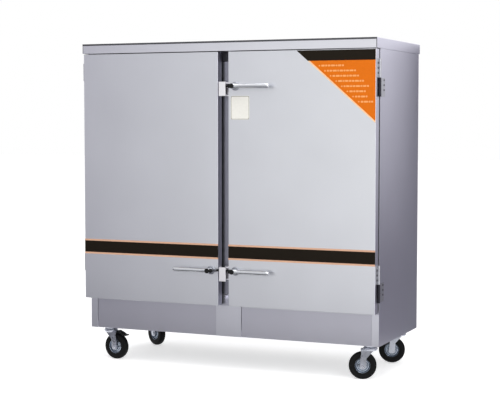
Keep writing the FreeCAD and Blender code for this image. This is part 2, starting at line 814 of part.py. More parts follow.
def hinge_door_leaf(z):
    # Upper half of the hinge: leaf on the door's edge and a knuckle that drops over the pin.
    z0 = z + hinge_half_gap / 2
    z1 = z0 + hinge_leaf_height
    leaf = block(door_hinge_x, frame_leaf_x + hinge_leaf_thickness, door_front_y + 3, hinge_axis_y, z0, z1)
    knuckle = rod(hinge_axis_x, hinge_axis_y, z0, UP, hinge_knuckle_radius, hinge_leaf_height)
    bore = rod(hinge_axis_x, hinge_axis_y, z0 - 1, UP, hinge_pin_radius + hinge_pin_clearance,
               hinge_leaf_height * 0.7 + 2 + hinge_half_gap)
    middle = (z0 + z1) / 2
    leaf_y = (door_front_y + hinge_axis_y) / 2 - 2
    heads = screw_heads(frame_leaf_x + hinge_leaf_thickness, leaf_y,
                        [middle + k * hinge_screw_pitch for k in (-1, 0, 1)])
    return [join([leaf, knuckle]).cut(bore)] + heads


def hinge_frame_leaves():
    right = hinge_frame_leaf(hinge_upper_z) + hinge_frame_leaf(hinge_lower_z)
    return right + [mirror_x(s) for s in right]


def hinge_door_leaves():
    return hinge_door_leaf(hinge_upper_z) + hinge_door_leaf(hinge_lower_z)


# Latches

def latch_base(z):
    # Round rosette on the door with the fixed spindle that the lever turns on.
    rosette = rod(latch_x, door_front_y, z, V(0, -1, 0), rosette_radius, rosette_height)
    rim = [e for e in rosette.Edges if e.Curve.TypeId == "Part::GeomCircle"
           and e.CenterOfMass.y < door_front_y - rosette_height / 2]
    rosette = rosette.makeFillet(2.0, rim)
    spindle = rod(latch_x, door_front_y, z, V(0, -1, 0), spindle_radius, grip_standoff)
    return join([rosette, spindle])


def latch_lever(z):
    # Hub, tapered round grip, and the stepped nose that turns behind the keeper's head.
    y_hub = door_front_y - rosette_height - lever_face_gap
    y_front = door_front_y - grip_standoff - grip_end_radius - 1.0
    hub = rod(latch_x, y_hub, z, V(0, -1, 0), hub_radius, y_hub - y_front)
    grip_y = door_front_y - grip_standoff
    bore = rod(latch_x, y_hub + 1, z, V(0, -1, 0), spindle_radius + spindle_clearance,
               y_hub + 1 - grip_y + lever_face_gap)
    grip_z = z + grip_rise
    grip = Part.makeCone(grip_root_radius, grip_end_radius, grip_length, V(latch_x, grip_y, grip_z),
                         V(1, 0, 0))
    end = [e for e in grip.Edges if e.Curve.TypeId == "Part::GeomCircle"
           and e.CenterOfMass.x > latch_x + grip_length / 2]
    grip = grip.makeFillet(grip_end_radius * 0.7, end)
    h = nose_half_height
    step = rosette_radius + 2
    root = block(latch_x - step - nose_root_thickness, latch_x, y_hub - nose_root_thickness, y_hub, z - h, z + h)
    tip_y1 = door_front_y - nose_door_gap
    tip_y0 = tip_y1 - nose_thickness
    drop = block(latch_x - step - nose_root_thickness, latch_x - step, y_hub - nose_root_thickness, tip_y1,
                 z - h, z + h)
    tip = block(latch_x - nose_reach, latch_x - step, tip_y0, tip_y1, z - h, z + h)
    lever = join([hub, grip, root, drop, tip]).cut(bore)
    cap = rod(latch_x, y_front, z, V(0, -1, 0), hub_cap_radius, hub_cap_height)
    return [lever, cap]


def turned_left(shapes, z):
    # The same latch on the left door, turned half round about the middle of the cabinet.
    return [s.rotated(V(0, 0, z), V(0, 1, 0), 180) for s in shapes]


def keeper(z, drop):
    # Block on the mullion with a wide head; the lever noses turn in behind the head.
    head_y1 = door_front_y - nose_door_gap - nose_thickness - keeper_nose_gap
    head_y0 = head_y1 - keeper_head_thickness
    half = keeper_width / 2
    z0 = z - drop - keeper_height / 2
    z1 = z0 + keeper_height
    inset = (keeper_height - keeper_stem_height) / 2
    foot = block(-half, half, face_y - keeper_foot_thickness, face_y, z0, z1)
    stem = block(-keeper_stem_width / 2, keeper_stem_width / 2, head_y0 + 1, face_y, z0 + inset, z1 - inset)
    head = block(-half, half, head_y0, head_y1, z0, z1)
    return join([foot, stem, head])


# Castors

def castor_plate():
    # Bolting plate with the upper race and the kingpin, built about the kingpin axis.
    s = castor_plate_size / 2
    z_plate = base_z - castor_plate_thickness
    plate = block(-s, s, -s, s, z_plate, base_z)
    race_top = crown_top_z() + race_height + race_gap
    race = Part.makeCone(race_radius - 3, race_radius + 3, z_plate - race_top, V(0, 0, race_top), UP)
    nut_top = crown_top_z() - fork_crown_thickness - kingpin_nut_gap
    pin = rod(0, 0, nut_top, UP, kingpin_radius, z_plate - nut_top)
    nut = rod(0, 0, nut_top - kingpin_nut_height, UP, kingpin_nut_radius, kingpin_nut_height)
    return join([plate, race, pin, nut])


def crown_top_z():
    return 2 * wheel_radius + wheel_crown_gap + fork_crown_thickness


def castor_fork():
    # Pressed fork: crown, lower race and two tapered legs, trailing along +X.
    top = crown_top_z()
    low = top - fork_crown_thickness
    half = fork_inner_width / 2
    outer = half + fork_leg
    front = -fork_crown_front
    rear = castor_trail + fork_crown_rear
    crown = block(front, rear, -outer, outer, low, top)
    round_end = [e for e in crown.Edges if abs(e.tangentAt(e.FirstParameter).z) > 0.9]
    crown = crown.makeFillet(fork_crown_corner, round_end)
    race = rod(0, 0, top, UP, race_radius, race_height)
    legs = []
    eye = fork_eye_radius
    for side in (-1, 1):
        y0 = half if side > 0 else -outer
        leg = prism_xz([(front + fork_leg_setback, low + 1), (rear - fork_leg_inset, low + 1),
                        (castor_trail + eye, wheel_radius),
                        (castor_trail - eye, wheel_radius)], y0, y0 + fork_leg)
        legs.append(leg)
        legs.append(rod(castor_trail, y0, wheel_radius, V(0, 1, 0), eye, fork_leg))
    fork = join([crown, race] + legs)
    pin_hole = rod(0, 0, low - 1, UP, kingpin_radius + kingpin_clearance, top + race_height - low + 2)
    axle_hole = rod(castor_trail, -outer - 1, wheel_radius, V(0, 1, 0), axle_radius + axle_clearance,
                    2 * outer + 2)
    axle = rod(castor_trail, -outer - axle_nut_height, wheel_radius, V(0, 1, 0), axle_radius,
               2 * (outer + axle_nut_height))
    nuts = [rod(castor_trail, y, wheel_radius, V(0, 1, 0), axle_nut_radius, axle_nut_height)
            for y in (-outer - axle_nut_height, outer)]
    return [fork.cut([pin_hole, axle_hole]), join([axle] + nuts)]


def pedal_pivot():
    # Place of the brake's cross pin in the fork's own frame.
    return (castor_trail + pedal_pin_back, crown_top_z() - pedal_pin_drop)


def braked_fork():
    # The fork of a braked castor has two ears and a cross pin for the pedal.
    fork, axle = castor_fork()
    px, pz = pedal_pivot()
    outer = fork_inner_width / 2 + fork_leg
    low = crown_top_z() - fork_crown_thickness
    ears = []
    for y0 in (fork_inner_width / 2, -outer):
        ear = prism_xz([(castor_trail - brake_ear_root, low - brake_ear_drop),
                        (px + brake_ear_radius, pz - brake_ear_radius),
                        (px + brake_ear_radius, pz + brake_ear_radius),
                        (castor_trail - brake_ear_root, crown_top_z())], y0, y0 + fork_leg)
        ears.append(ear)
    pin = rod(px, -outer, pz, V(0, 1, 0), pedal_pin_radius, 2 * outer)
    slot = block(px - pedal_pin_radius - pedal_eye_wall - pedal_eye_room, castor_trail + fork_crown_rear + 1,
                 -fork_inner_width / 2, fork_inner_width / 2, low - 1, crown_top_z() + 1)
    return [join([fork.cut(slot)] + ears + [pin]), axle]


def brake_pedal():
    # Curved shoe over the tyre with an eye on the cross pin and a foot tab.
    px, pz = pedal_pivot()
    inner = wheel_radius + pedal_gap
    outer = inner + pedal_thickness
    half = pedal_width / 2
    ring = rod(castor_trail, -half, wheel_radius, V(0, 1, 0), outer, 2 * half)
    ring = ring.cut(rod(castor_trail, -half - 1, wheel_radius, V(0, 1, 0), inner, 2 * half + 2))
    reach = 2 * outer
    a0 = math.radians(pedal_start_deg)
    a1 = math.radians(pedal_end_deg)
    wedge = prism_xz([(castor_trail, wheel_radius),
                      (castor_trail + reach * math.cos(a0), wheel_radius + reach * math.sin(a0)),
                      (castor_trail + reach * math.cos(a1), wheel_radius + reach * math.sin(a1))],
                     -half, half)
    shoe = ring.common(wedge)
    end_x = castor_trail + inner * math.cos(a1)
    end_z = wheel_radius + inner * math.sin(a1)
    tab = block(end_x + 1, end_x + 1 + pedal_tab_length, -half, half, end_z, end_z + pedal_thickness)
    eye = rod(px, -half, pz, V(0, 1, 0), pedal_pin_radius + pedal_eye_wall, 2 * half)
    bore = rod(px, -half - 1, pz, V(0, 1, 0), pedal_pin_radius + pedal_pin_clearance, 2 * half + 2)
    return join([shoe, tab, eye]).cut(bore)


def revolved_about_axle(points):
    # Radius and offset pairs, turned about the axle; the offset runs along the axle.
    corners = [V(castor_trail + r, w, wheel_radius) for r, w in points]
    face = Part.Face(Part.makePolygon(corners + corners[:1]))
    return face.revolve(V(castor_trail, 0, wheel_radius), V(0, 1, 0), 360)


def wheel_rim():
    # Pressed steel wheel centre: boss, dished web and rim.
    hub = fork_inner_width / 2 - fork_hub_gap
    w = rim_width / 2
    t = wheel_web / 2
    b = hub_boss_radius
    edge = tyre_inner_radius
    bore = axle_radius + axle_clearance
    return revolved_about_axle([(bore, -hub), (b, -hub), (b + 4, -t - 3), (edge - 8, -t), (edge - 4, -w),
                                (edge, -w), (edge, w), (edge - 4, w), (edge - 8, t), (b + 4, t + 3),
                                (b, hub), (bore, hub)])


def tyre():
    # Solid rubber tyre with rounded shoulders.
    w = tyre_width / 2
    s = tyre_shoulder
    k = s * (1 - math.sqrt(0.5))
    flank = wheel_radius - s

    def at(r, offset):
        return V(castor_trail + r, offset, wheel_radius)

    edges = [Part.makeLine(at(tyre_inner_radius, -w), at(flank, -w)),
             Part.Arc(at(flank, -w), at(wheel_radius - k, -w + k), at(wheel_radius, -w + s)).toShape(),
             Part.makeLine(at(wheel_radius, -w + s), at(wheel_radius, w - s)),
             Part.Arc(at(wheel_radius, w - s), at(wheel_radius - k, w - k), at(flank, w)).toShape(),
             Part.makeLine(at(flank, w), at(tyre_inner_radius, w)),
             Part.makeLine(at(tyre_inner_radius, w), at(tyre_inner_radius, -w))]
    return Part.Face(Part.Wire(edges)).revolve(at(0, 0), V(0, 1, 0), 360)


castors = {
    "front_left": (-castor_x, castor_front_y, -6.0, True),
    "rear_left": (-castor_x, castor_rear_y, -28.0, True),
    "front_right": (castor_x, castor_front_y, 198.0, False),
    "rear_right": (castor_x, castor_rear_y, 194.0, False),
}


def placed_castor(shapes, x, y, turn):
    # From the castor's own frame to its corner, with its fork turned about the kingpin.
    placed = []
    for shape in shapes:
        copy = shape.rotated(V(0, 0, 0), UP, turn)
        copy.translate(V(x, y, 0))
        placed.append(copy)
    return placed


# Every node and its solids

nodes = {
    "side_panel_right": [side_panel()],
    "side_panel_left": [mirror_x(side_panel())],
    "back_panel": [back_panel()],
    "lid_pan": [lid_pan()],
    "lid_front_strip": [lid_front_strip()],
    "front_frame": front_frame(),
    "centre_mullion": [centre_mullion()],
    "chamber_liner_right": [chamber_liner()],
    "chamber_liner_left": [mirror_x(chamber_liner())],
    "body_insulation": body_insulation(),
    "plinth_frame": plinth_frame(),
    "plinth_panels": plinth_panels(),
    "base_chassis": [base_chassis()],
    "water_tanks": water_tanks(),
    "heating_elements": [heating_element(), mirror_x(heating_element())],
    "float_valve": [float_valve()],
    "float_arm": [float_arm()],
    "water_pipework": water_pipework(),
    "drain_valve": [drain_valve()],
    "drain_lever": [drain_lever()],
    "steam_vents": [steam_vent(), mirror_x(steam_vent())],
    "terminal_box": terminal_box(),
    "tray_racks": tray_racks(),
    "trays": trays(),
    "hinge_frame_leaves": hinge_frame_leaves(),
    "keepers": [keeper(latch_upper_z, keeper_upper_drop), keeper(latch_lower_z, keeper_lower_drop)],
    "door_skin_right": [door_skin()],
    "door_skin_left": [mirror_x(door_skin())],
    "door_inner_right": [door_inner()],
    "door_inner_left": [mirror_x(door_inner())],
    "door_core_right": [door_core()],
    "door_core_left": [mirror_x(door_core())],
    "door_gasket_right": [door_gasket()],
    "door_gasket_left": [mirror_x(door_gasket())],
    "door_stripe_right": [door_stripe()],
    "door_stripe_left": [mirror_x(door_stripe())],
    "corner_label": [corner_label()],
    "blank_plate": [blank_plate()],
    "hinge_door_leaves_right": hinge_door_leaves(),
    "hinge_door_leaves_left": [mirror_x(s) for s in hinge_door_leaves()],
    "latch_bases_right": [latch_base(latch_upper_z), latch_base(latch_lower_z)],
    "latch_base_left": turned_left([latch_base(latch_lower_z)], latch_lower_z),
    "latch_lever_right_upper": latch_lever(latch_upper_z),
    "latch_lever_right_lower": latch_lever(latch_lower_z),
    "latch_lever_left_lower": turned_left(latch_lever(latch_lower_z), latch_lower_z),
    "castor_plates": [placed_castor([castor_plate()], x, y, 0)[0] for x, y, turn, braked in castors.values()],
}
for corner, (x, y, turn, braked) in castors.items():
    fork_shapes = braked_fork() if braked else castor_fork()
    nodes["castor_fork_" + corner] = placed_castor(fork_shapes, x, y, turn)
    nodes["wheel_rim_" + corner] = placed_castor([wheel_rim()], x, y, turn)
    nodes["tyre_" + corner] = placed_castor([tyre()], x, y, turn)
    if braked:
        nodes["brake_pedal_" + corner] = placed_castor([brake_pedal()], x, y, turn)

os.makedirs("parts", exist_ok=True)
for name, solids in nodes.items():
    shape = solids[0] if len(solids) == 1 else Part.makeCompound(solids)
    shape.exportStep("parts/" + name + ".step")
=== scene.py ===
# Rice steamer cabinet: two doors, stainless steel, on four swivel castors.
# The file follows the cabinet as it is put together, from the castors up to the latches.
import json
import math

import bpy
from mathutils import Matrix, Vector

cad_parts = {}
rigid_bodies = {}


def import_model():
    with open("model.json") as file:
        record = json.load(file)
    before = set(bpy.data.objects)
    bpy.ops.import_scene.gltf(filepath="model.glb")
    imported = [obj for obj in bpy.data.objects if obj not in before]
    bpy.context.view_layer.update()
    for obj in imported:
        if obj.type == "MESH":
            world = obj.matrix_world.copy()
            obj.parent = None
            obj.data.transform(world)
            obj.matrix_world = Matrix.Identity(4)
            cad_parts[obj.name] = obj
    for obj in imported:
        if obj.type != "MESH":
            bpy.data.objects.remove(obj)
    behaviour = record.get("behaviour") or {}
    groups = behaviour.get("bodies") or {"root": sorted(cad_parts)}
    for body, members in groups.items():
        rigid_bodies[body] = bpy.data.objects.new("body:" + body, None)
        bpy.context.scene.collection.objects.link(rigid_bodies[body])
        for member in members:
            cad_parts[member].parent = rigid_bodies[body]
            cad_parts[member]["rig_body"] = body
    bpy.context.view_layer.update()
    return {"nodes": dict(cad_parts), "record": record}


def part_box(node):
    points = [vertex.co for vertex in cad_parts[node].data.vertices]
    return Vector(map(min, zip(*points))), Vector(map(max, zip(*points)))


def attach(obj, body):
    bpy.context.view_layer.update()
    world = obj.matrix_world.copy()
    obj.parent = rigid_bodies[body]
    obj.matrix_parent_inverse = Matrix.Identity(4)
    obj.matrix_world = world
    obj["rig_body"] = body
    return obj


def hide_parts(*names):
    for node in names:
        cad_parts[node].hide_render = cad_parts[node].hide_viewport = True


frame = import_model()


# Castor plates
# Steel bolting plates with the upper bearing race and the kingpin, pressed and bright zinc plated.
# Each is bolted up under a channel of the base, and its cut edges are slightly rounded.

mm = 0.001


def linear(hex_colour):
    """An sRGB hex colour as linear red, green, blue and alpha."""
    parts = [int(hex_colour[at:at + 2], 16) / 255 for at in (1, 3, 5)]
    return [c / 12.92 if c <= 0.04045 else ((c + 0.055) / 1.055) ** 2.4 for c in parts] + [1.0]


def shaded(hex_colour, share):
    """A colour as linear values, darker or paler by a share."""
    return [min(part * share, 1.0) for part in linear(hex_colour)[:3]] + [1.0]


def add_node(owner, kind, settings=None, links=()):
    """One node with its settings; each link is the node's own socket, the other node and its output."""
    node = owner.node_tree.nodes.new("ShaderNode" + kind)
    for name, value in (settings or {}).items():
        if isinstance(name, int) or name in node.inputs:
            node.inputs[name].default_value = value
        else:
            setattr(node, name, value)
    for socket, source, output in links:
        owner.node_tree.links.new(source.outputs[output], node.inputs[socket])
    return node


def start_material(name, colour, metallic, roughness):
    """A new material and its shader, with the values that are the same all over it."""
    material = bpy.data.materials.new(name)
    material.use_nodes = True
    shader = material.node_tree.nodes["Principled BSDF"]
    shader.inputs["Base Color"].default_value = linear(colour)
    shader.inputs["Metallic"].default_value = metallic
    shader.inputs["Roughness"].default_value = roughness
    return material, shader


def feed(material, shader, socket, node, output):
    """Links a node's output to a socket of the shader."""
    material.node_tree.links.new(node.outputs[output], shader.inputs[socket])


# A Mix node's sockets for colours, by number: its share, the two colours and the mixed one.
mix_share, colour_a, colour_b, mixed = 0, 6, 7, 2


def zinc_plated(name, colour, roughness, crystal_size):
    # Bright zinc plating on pressed steel: bluish, with faint cloudy patches from the bath and fine
    # handling marks that show as small changes of gloss.
    material, shader = start_material(name, colour, 1.0, roughness)
    place = add_node(material, "TexCoord")
    cloud = add_node(material, "TexNoise", {"Scale": 1 / crystal_size, "Detail": 4.0},
                     [("Vector", place, "Object")])
    gloss = add_node(material, "MapRange", {"To Min": roughness - 0.09, "To Max": roughness + 0.12},
                     [("Value", cloud, "Fac")])
    feed(material, shader, "Roughness", gloss, "Result")
    dark = shaded(colour, 0.82)
    tone = add_node(material, "Mix", {"data_type": "RGBA", colour_a: dark, colour_b: linear(colour)},
                    [(mix_share, cloud, "Fac")])
    feed(material, shader, "Base Color", tone, mixed)
    grit = add_node(material, "TexNoise", {"Scale": 1 / (0.6 * mm), "Detail": 2.0},
                    [("Vector", place, "Object")])
    bump = add_node(material, "Bump", {"Strength": 0.15, "Distance": 0.05 * mm},
                    [("Height", grit, "Fac")])
    feed(material, shader, "Normal", bump, "Normal")
    return material


def select_only(piece):
    """Leaves object mode and selects this piece alone."""
    if bpy.context.object and bpy.context.object.mode != "OBJECT":
        bpy.ops.object.mode_set(mode="OBJECT")
    bpy.ops.object.select_all(action="DESELECT")
    piece.select_set(True)
    bpy.context.view_layer.objects.active = piece


def use_modifier(piece, kind, **settings):
    """Adds a modifier, gives it its settings and applies it."""
    select_only(piece)
    modifier = piece.modifiers.new(kind.title(), kind)
    for name, value in settings.items():
        setattr(modifier, name, value)
    bpy.ops.object.modifier_apply(modifier=modifier.name)


smooth_angle = math.radians(32)
fold_angle = math.radians(40)


def dress(piece, material, body, replaced=()):
    """Smooths a finished piece, gives it its material and puts it on its body."""
    select_only(piece)
    bpy.ops.object.shade_smooth_by_angle(angle=smooth_angle)
    use_modifier(piece, "WEIGHTED_NORMAL", mode="FACE_AREA", weight=90, keep_sharp=True)
    piece.data.materials.clear()
    piece.data.materials.append(material)
    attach(piece, body)
    if replaced:
        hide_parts(*replaced)


def softened(node_name, piece_name, width, segments, material):
    """A copy of a CAD node with its folds and cut edges rounded, standing for that node."""
    node = frame["nodes"][node_name]
    piece = bpy.data.objects.new(piece_name, node.data.copy())
    bpy.context.scene.collection.objects.link(piece)
    select_only(piece)
    bpy.ops.object.mode_set(mode="EDIT")
    bpy.ops.mesh.select_all(action="SELECT")
    bpy.ops.mesh.remove_doubles(threshold=0.01 * mm)
    bpy.ops.mesh.dissolve_limited(angle_limit=math.radians(1))
    bpy.ops.object.mode_set(mode="OBJECT")
    use_modifier(piece, "BEVEL", width=width, segments=segments, limit_method="ANGLE",
                 angle_limit=fold_angle)
    dress(piece, material, node["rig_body"], [node_name])
    return piece


castor_zinc = zinc_plated("bright_zinc_plating", "#C0C3CD", 0.28, 9 * mm)
softened("castor_plates", "castor_plates_zinc", 0.6 * mm, 2, castor_zinc)


# Castor forks
# Pressed steel forks, folded down from one plate over the wheel, with a rolled ball race riveted on top.
# The legs narrow towards the axle, a bolt through both with a washer and a six-sided head on each side.

def edit(piece, kind, rule):
    """Opens a piece for editing with only those corners, edges or faces selected that a rule holds for."""
    select_only(piece)
    bpy.ops.object.mode_set(mode="EDIT")
    bpy.ops.mesh.select_mode(type=kind)
    bpy.ops.mesh.select_all(action="DESELECT")
    bpy.ops.object.mode_set(mode="OBJECT")
    corners = piece.data.vertices
    if kind == "VERT":
        for corner in corners:
            corner.select = rule(corner.co)
    elif kind == "EDGE":
        for edge in piece.data.edges:
            edge.select = rule(corners[edge.vertices[0]].co, corners[edge.vertices[1]].co)
    else:
        for face in piece.data.polygons:
            face.select = rule(face.center, face.normal)
    bpy.ops.object.mode_set(mode="EDIT")


def block(name, low, high):
    """A cuboid between two corners, ready to be shaped."""
    middle = [(a + b) / 2 for a, b in zip(low, high)]
    size = [b - a for a, b in zip(low, high)]
    bpy.ops.object.select_all(action="DESELECT")
    bpy.ops.mesh.primitive_cube_add(size=1, location=middle, scale=size)
    piece = bpy.context.object
    piece.name = name
    bpy.ops.object.transform_apply(location=True, rotation=True, scale=True)
    return piece


def turned(name, outline, centre, axis, steps=48, start=None):
    """A piece turned on a lathe: its outline, in mm as radius and place along the axis, is spun."""
    bpy.ops.object.select_all(action="DESELECT")
    bpy.ops.mesh.primitive_circle_add(vertices=len(outline), radius=10 * mm)
    piece = bpy.context.object
    piece.name = name
    along = Vector(axis).normalized()
    outwards = Vector(start) if start else along.orthogonal().normalized()
    for corner, (radius, height) in zip(piece.data.vertices, outline):
        corner.co = Vector(centre) + outwards * radius * mm + along * height * mm
    edit(piece, "VERT", lambda place: True)
    bpy.ops.mesh.spin(steps=steps, angle=2 * math.pi, center=centre, axis=along)
    bpy.ops.mesh.select_all(action="SELECT")
    bpy.ops.mesh.remove_doubles(threshold=0.005 * mm)
    bpy.ops.mesh.dissolve_degenerate(threshold=0.005 * mm)
    bpy.ops.mesh.delete_loose(use_verts=True, use_edges=True, use_faces=False)
    bpy.ops.mesh.select_all(action="SELECT")
    bpy.ops.mesh.normals_make_consistent(inside=False)
    bpy.ops.object.mode_set(mode="OBJECT")
    return piece


def joined(name, pieces):
    """Joins several pieces into one mesh."""
    bpy.ops.object.select_all(action="DESELECT")
    for piece in pieces:
        piece.select_set(True)
    bpy.context.view_layer.objects.active = pieces[0]
    bpy.ops.object.join()
    pieces[0].name = name
    return pieces[0]


def copied(piece, name, move):
    """A copy with its own mesh, put where a matrix takes it."""
    twin = piece.copy()
    twin.data = piece.data.copy()
    twin.name = name
    bpy.context.scene.collection.objects.link(twin)
    twin.data.transform(move)
    return twin


trail = 34 * mm
axle_height = 62.5 * mm
crown_top = 137.5 * mm
fork_half_width = 22 * mm
fork_sheet = 3.5 * mm
fork_front = -18 * mm
fork_rear = 43 * mm
fork_eye = 15 * mm
crown_middle = (fork_front + fork_rear) / 2
# Each row of the legs has its height, its width and its middle.
leg_rows = [(128 * mm, 54 * mm, 14 * mm), (115 * mm, 45 * mm, 19 * mm), (96 * mm, 36 * mm, 27 * mm),
            (axle_height - fork_eye, 2 * fork_eye, trail)]

fork_shell = block("fork_shell", (fork_front, -fork_half_width, axle_height - fork_eye),
                   (fork_rear, fork_half_width, crown_top))
edit(fork_shell, "FACE", lambda place, normal: abs(normal.x) > 0.9 or normal.z < -0.9)
bpy.ops.mesh.delete(type="FACE")
edit(fork_shell, "EDGE", lambda a, b: min(a.z, b.z) > crown_top - 1 * mm and abs(a.y - b.y) < 1 * mm)
bpy.ops.mesh.bevel(offset=5 * mm, offset_type="OFFSET", segments=4, affect="EDGES")
for height, width, middle in leg_rows:
    edit(fork_shell, "FACE", lambda place, normal: True)
    bpy.ops.mesh.bisect(plane_co=(0, 0, height), plane_no=(0, 0, 1), use_fill=False)
    edit(fork_shell, "VERT", lambda place: abs(place.z - height) < 0.5 * mm)
    bpy.ops.transform.resize(value=(width / (fork_rear - fork_front), 1, 1),
                             center_override=(crown_middle, 0, 0))
    bpy.ops.transform.translate(value=(middle - crown_middle, 0, 0))
edit(fork_shell, "VERT", lambda place: place.z < axle_height)
bpy.ops.mesh.bevel(offset=12 * mm, offset_type="OFFSET", segments=6, affect="VERTICES")
use_modifier(fork_shell, "SOLIDIFY", thickness=fork_sheet, offset=-1.0, use_even_offset=True)
use_modifier(fork_shell, "BEVEL", width=0.7 * mm, segments=2, limit_method="ANGLE", angle_limit=fold_angle)
race_outline = [(0, -8.5), (24, -8.5), (29, -7.5), (32, -4), (33, 0), (33, 3), (31.5, 6), (29, 7.6),
                (26, 8), (0, 8)]
lower_race = turned("lower_race", race_outline, (0, 0, crown_top), (0, 0, 1))
washer_thickness = 1.1
axle_parts = []
for way in (-1, 1):
    leg_face = (trail, way * fork_half_width, axle_height)
    washer = turned("washer", [(0, 0), (10.5, 0), (10.5, washer_thickness), (0, washer_thickness)],
                    leg_face, (0, way, 0))
    head_face = (trail, way * (fork_half_width + washer_thickness * mm), axle_height)
    head = turned("bolt_head", [(0, 0), (8.6, 0), (8.6, 2.8), (7.4, 3.6), (0, 3.9)], head_face,
                  (0, way, 0), steps=6)
    axle_parts += [washer, head]
axle_parts.append(turned("axle_rod", [(0, -22), (5, -22), (5, 22), (0, 22)], (trail, 0, axle_height),
                         (0, 1, 0), steps=24))
fork_model = joined("fork_model", [fork_shell, lower_race] + axle_parts)


joints = {joint["name"]: joint for joint in frame["record"]["behaviour"]["joints"]}


def corner_move(corner):
    """From a castor's own frame to its corner of the cabinet, turned as its joints lie."""
    pin = Vector(joints["swivel_" + corner]["pos_m"])
    axle = Vector(joints["roll_" + corner]["pos_m"])
    turn = math.atan2(axle.y - pin.y, axle.x - pin.x)
    return Matrix.Translation((pin.x, pin.y, 0)) @ Matrix.Rotation(turn, 4, "Z")


corners = ("front_left", "rear_left", "front_right", "rear_right")
for corner in corners:
    fork = copied(fork_model, "castor_fork_pressed_" + corner, corner_move(corner))
    dress(fork, castor_zinc, "castor_" + corner, ["castor_fork_" + corner])
bpy.data.objects.remove(fork_model)


# Wheel centres and tyres
# Wheel centres are two pressed steel discs, zinc plated, with ringed steps and a ball race in the boss.
# Tyres are thick black rubber moulded on the rim, with a rounded crown, a bead line and a fine matt skin.

centre_half = [(5.2, 18), (9, 18.2), (13.5, 18.2), (15, 17), (15.4, 12), (17, 8.6), (21.6, 7.2), (23.4, 4.6),
               (28.2, 3.6), (30, 5.2), (33, 13.6), (34.4, 14.5), (37.2, 14.5)]
centre_outline = centre_half + [(radius, -width) for radius, width in reversed(centre_half)]
wheel_middle = (trail, 0, axle_height)
centre_model = turned("centre_model", centre_outline, wheel_middle, (0, 1, 0), steps=64, start=(0, 0, -1))
use_modifier(centre_model, "BEVEL", width=0.8 * mm, segments=2, limit_method="ANGLE",
             angle_limit=math.radians(25))
tyre_half = [(37, 14.2), (34, 14.6), (34.4, 15.6), (37.2, 16), (40, 15.3), (43, 16), (53, 16),
             (57.2, 14.8), (60.3, 12), (62, 8), (62.5, 4)]
tyre_outline = tyre_half + [(radius, -width) for radius, width in reversed(tyre_half)]
tyre_model = turned("tyre_model", tyre_outline, wheel_middle, (0, 1, 0), steps=64, start=(0, 0, -1))

wheel_zinc = zinc_plated("zinc_plated_wheel_centre", "#98A0AC", 0.20, 9 * mm)


def moulded_rubber(name, colour, grain, roughness):
    # Moulded black rubber: nearly black and matt, with a grey bloom in soft patches and a fine
    # skin from the mould that breaks up its sheen.
    material, shader = start_material(name, colour, 0.0, roughness)
    shader.inputs["Specular IOR Level"].default_value = 0.12
    place = add_node(material, "TexCoord")
    bloom = add_node(material, "TexNoise", {"Scale": 1 / (22 * mm), "Detail": 3.0},
                     [("Vector", place, "Object")])
    bloom_light = 0.003
    pale = [part * 1.7 + bloom_light for part in linear(colour)[:3]] + [1.0]
    tone = add_node(material, "Mix", {"data_type": "RGBA", colour_a: linear(colour), colour_b: pale},
                    [(mix_share, bloom, "Fac")])
    feed(material, shader, "Base Color", tone, mixed)
    gloss = add_node(material, "MapRange", {"To Min": roughness - 0.1, "To Max": roughness + 0.12},
                     [("Value", bloom, "Fac")])
    feed(material, shader, "Roughness", gloss, "Result")
    skin = add_node(material, "TexNoise", {"Scale": 1 / grain, "Detail": 2.0},
                    [("Vector", place, "Object")])
    bump = add_node(material, "Bump", {"Strength": 0.3, "Distance": 0.1 * mm},
                    [("Height", skin, "Fac")])
    feed(material, shader, "Normal", bump, "Normal")
    return material


tyre_rubber = moulded_rubber("moulded_tyre_rubber", "#060607", 1.2 * mm, 0.55)
for corner in corners:
    move = corner_move(corner)
    centre = copied(centre_model, "wheel_centre_" + corner, move)
    dress(centre, wheel_zinc, "wheel_" + corner, ["wheel_rim_" + corner])
    tyre = copied(tyre_model, "tyre_moulded_" + corner, move)
    dress(tyre, tyre_rubber, "wheel_" + corner, ["tyre_" + corner])
bpy.data.objects.remove(centre_model)
bpy.data.objects.remove(tyre_model)


# Brake pedals
# Foot pedals of the two left castors, moulded in black nylon with a shoe over the tyre.
# Each turns on the cross pin of its fork.

pedal_nylon = moulded_rubber("moulded_black_nylon", "#161617", 0.8 * mm, 0.40)
for corner in ("front_left", "rear_left"):
    softened("brake_pedal_" + corner, "brake_pedal_moulded_" + corner, 1.2 * mm, 3, pedal_nylon)


# Plinth and base
# Stainless posts and rails welded to a frame, with thin kick panels set back behind them.
# The base plate under the body is pressed from mild steel and painted grey.

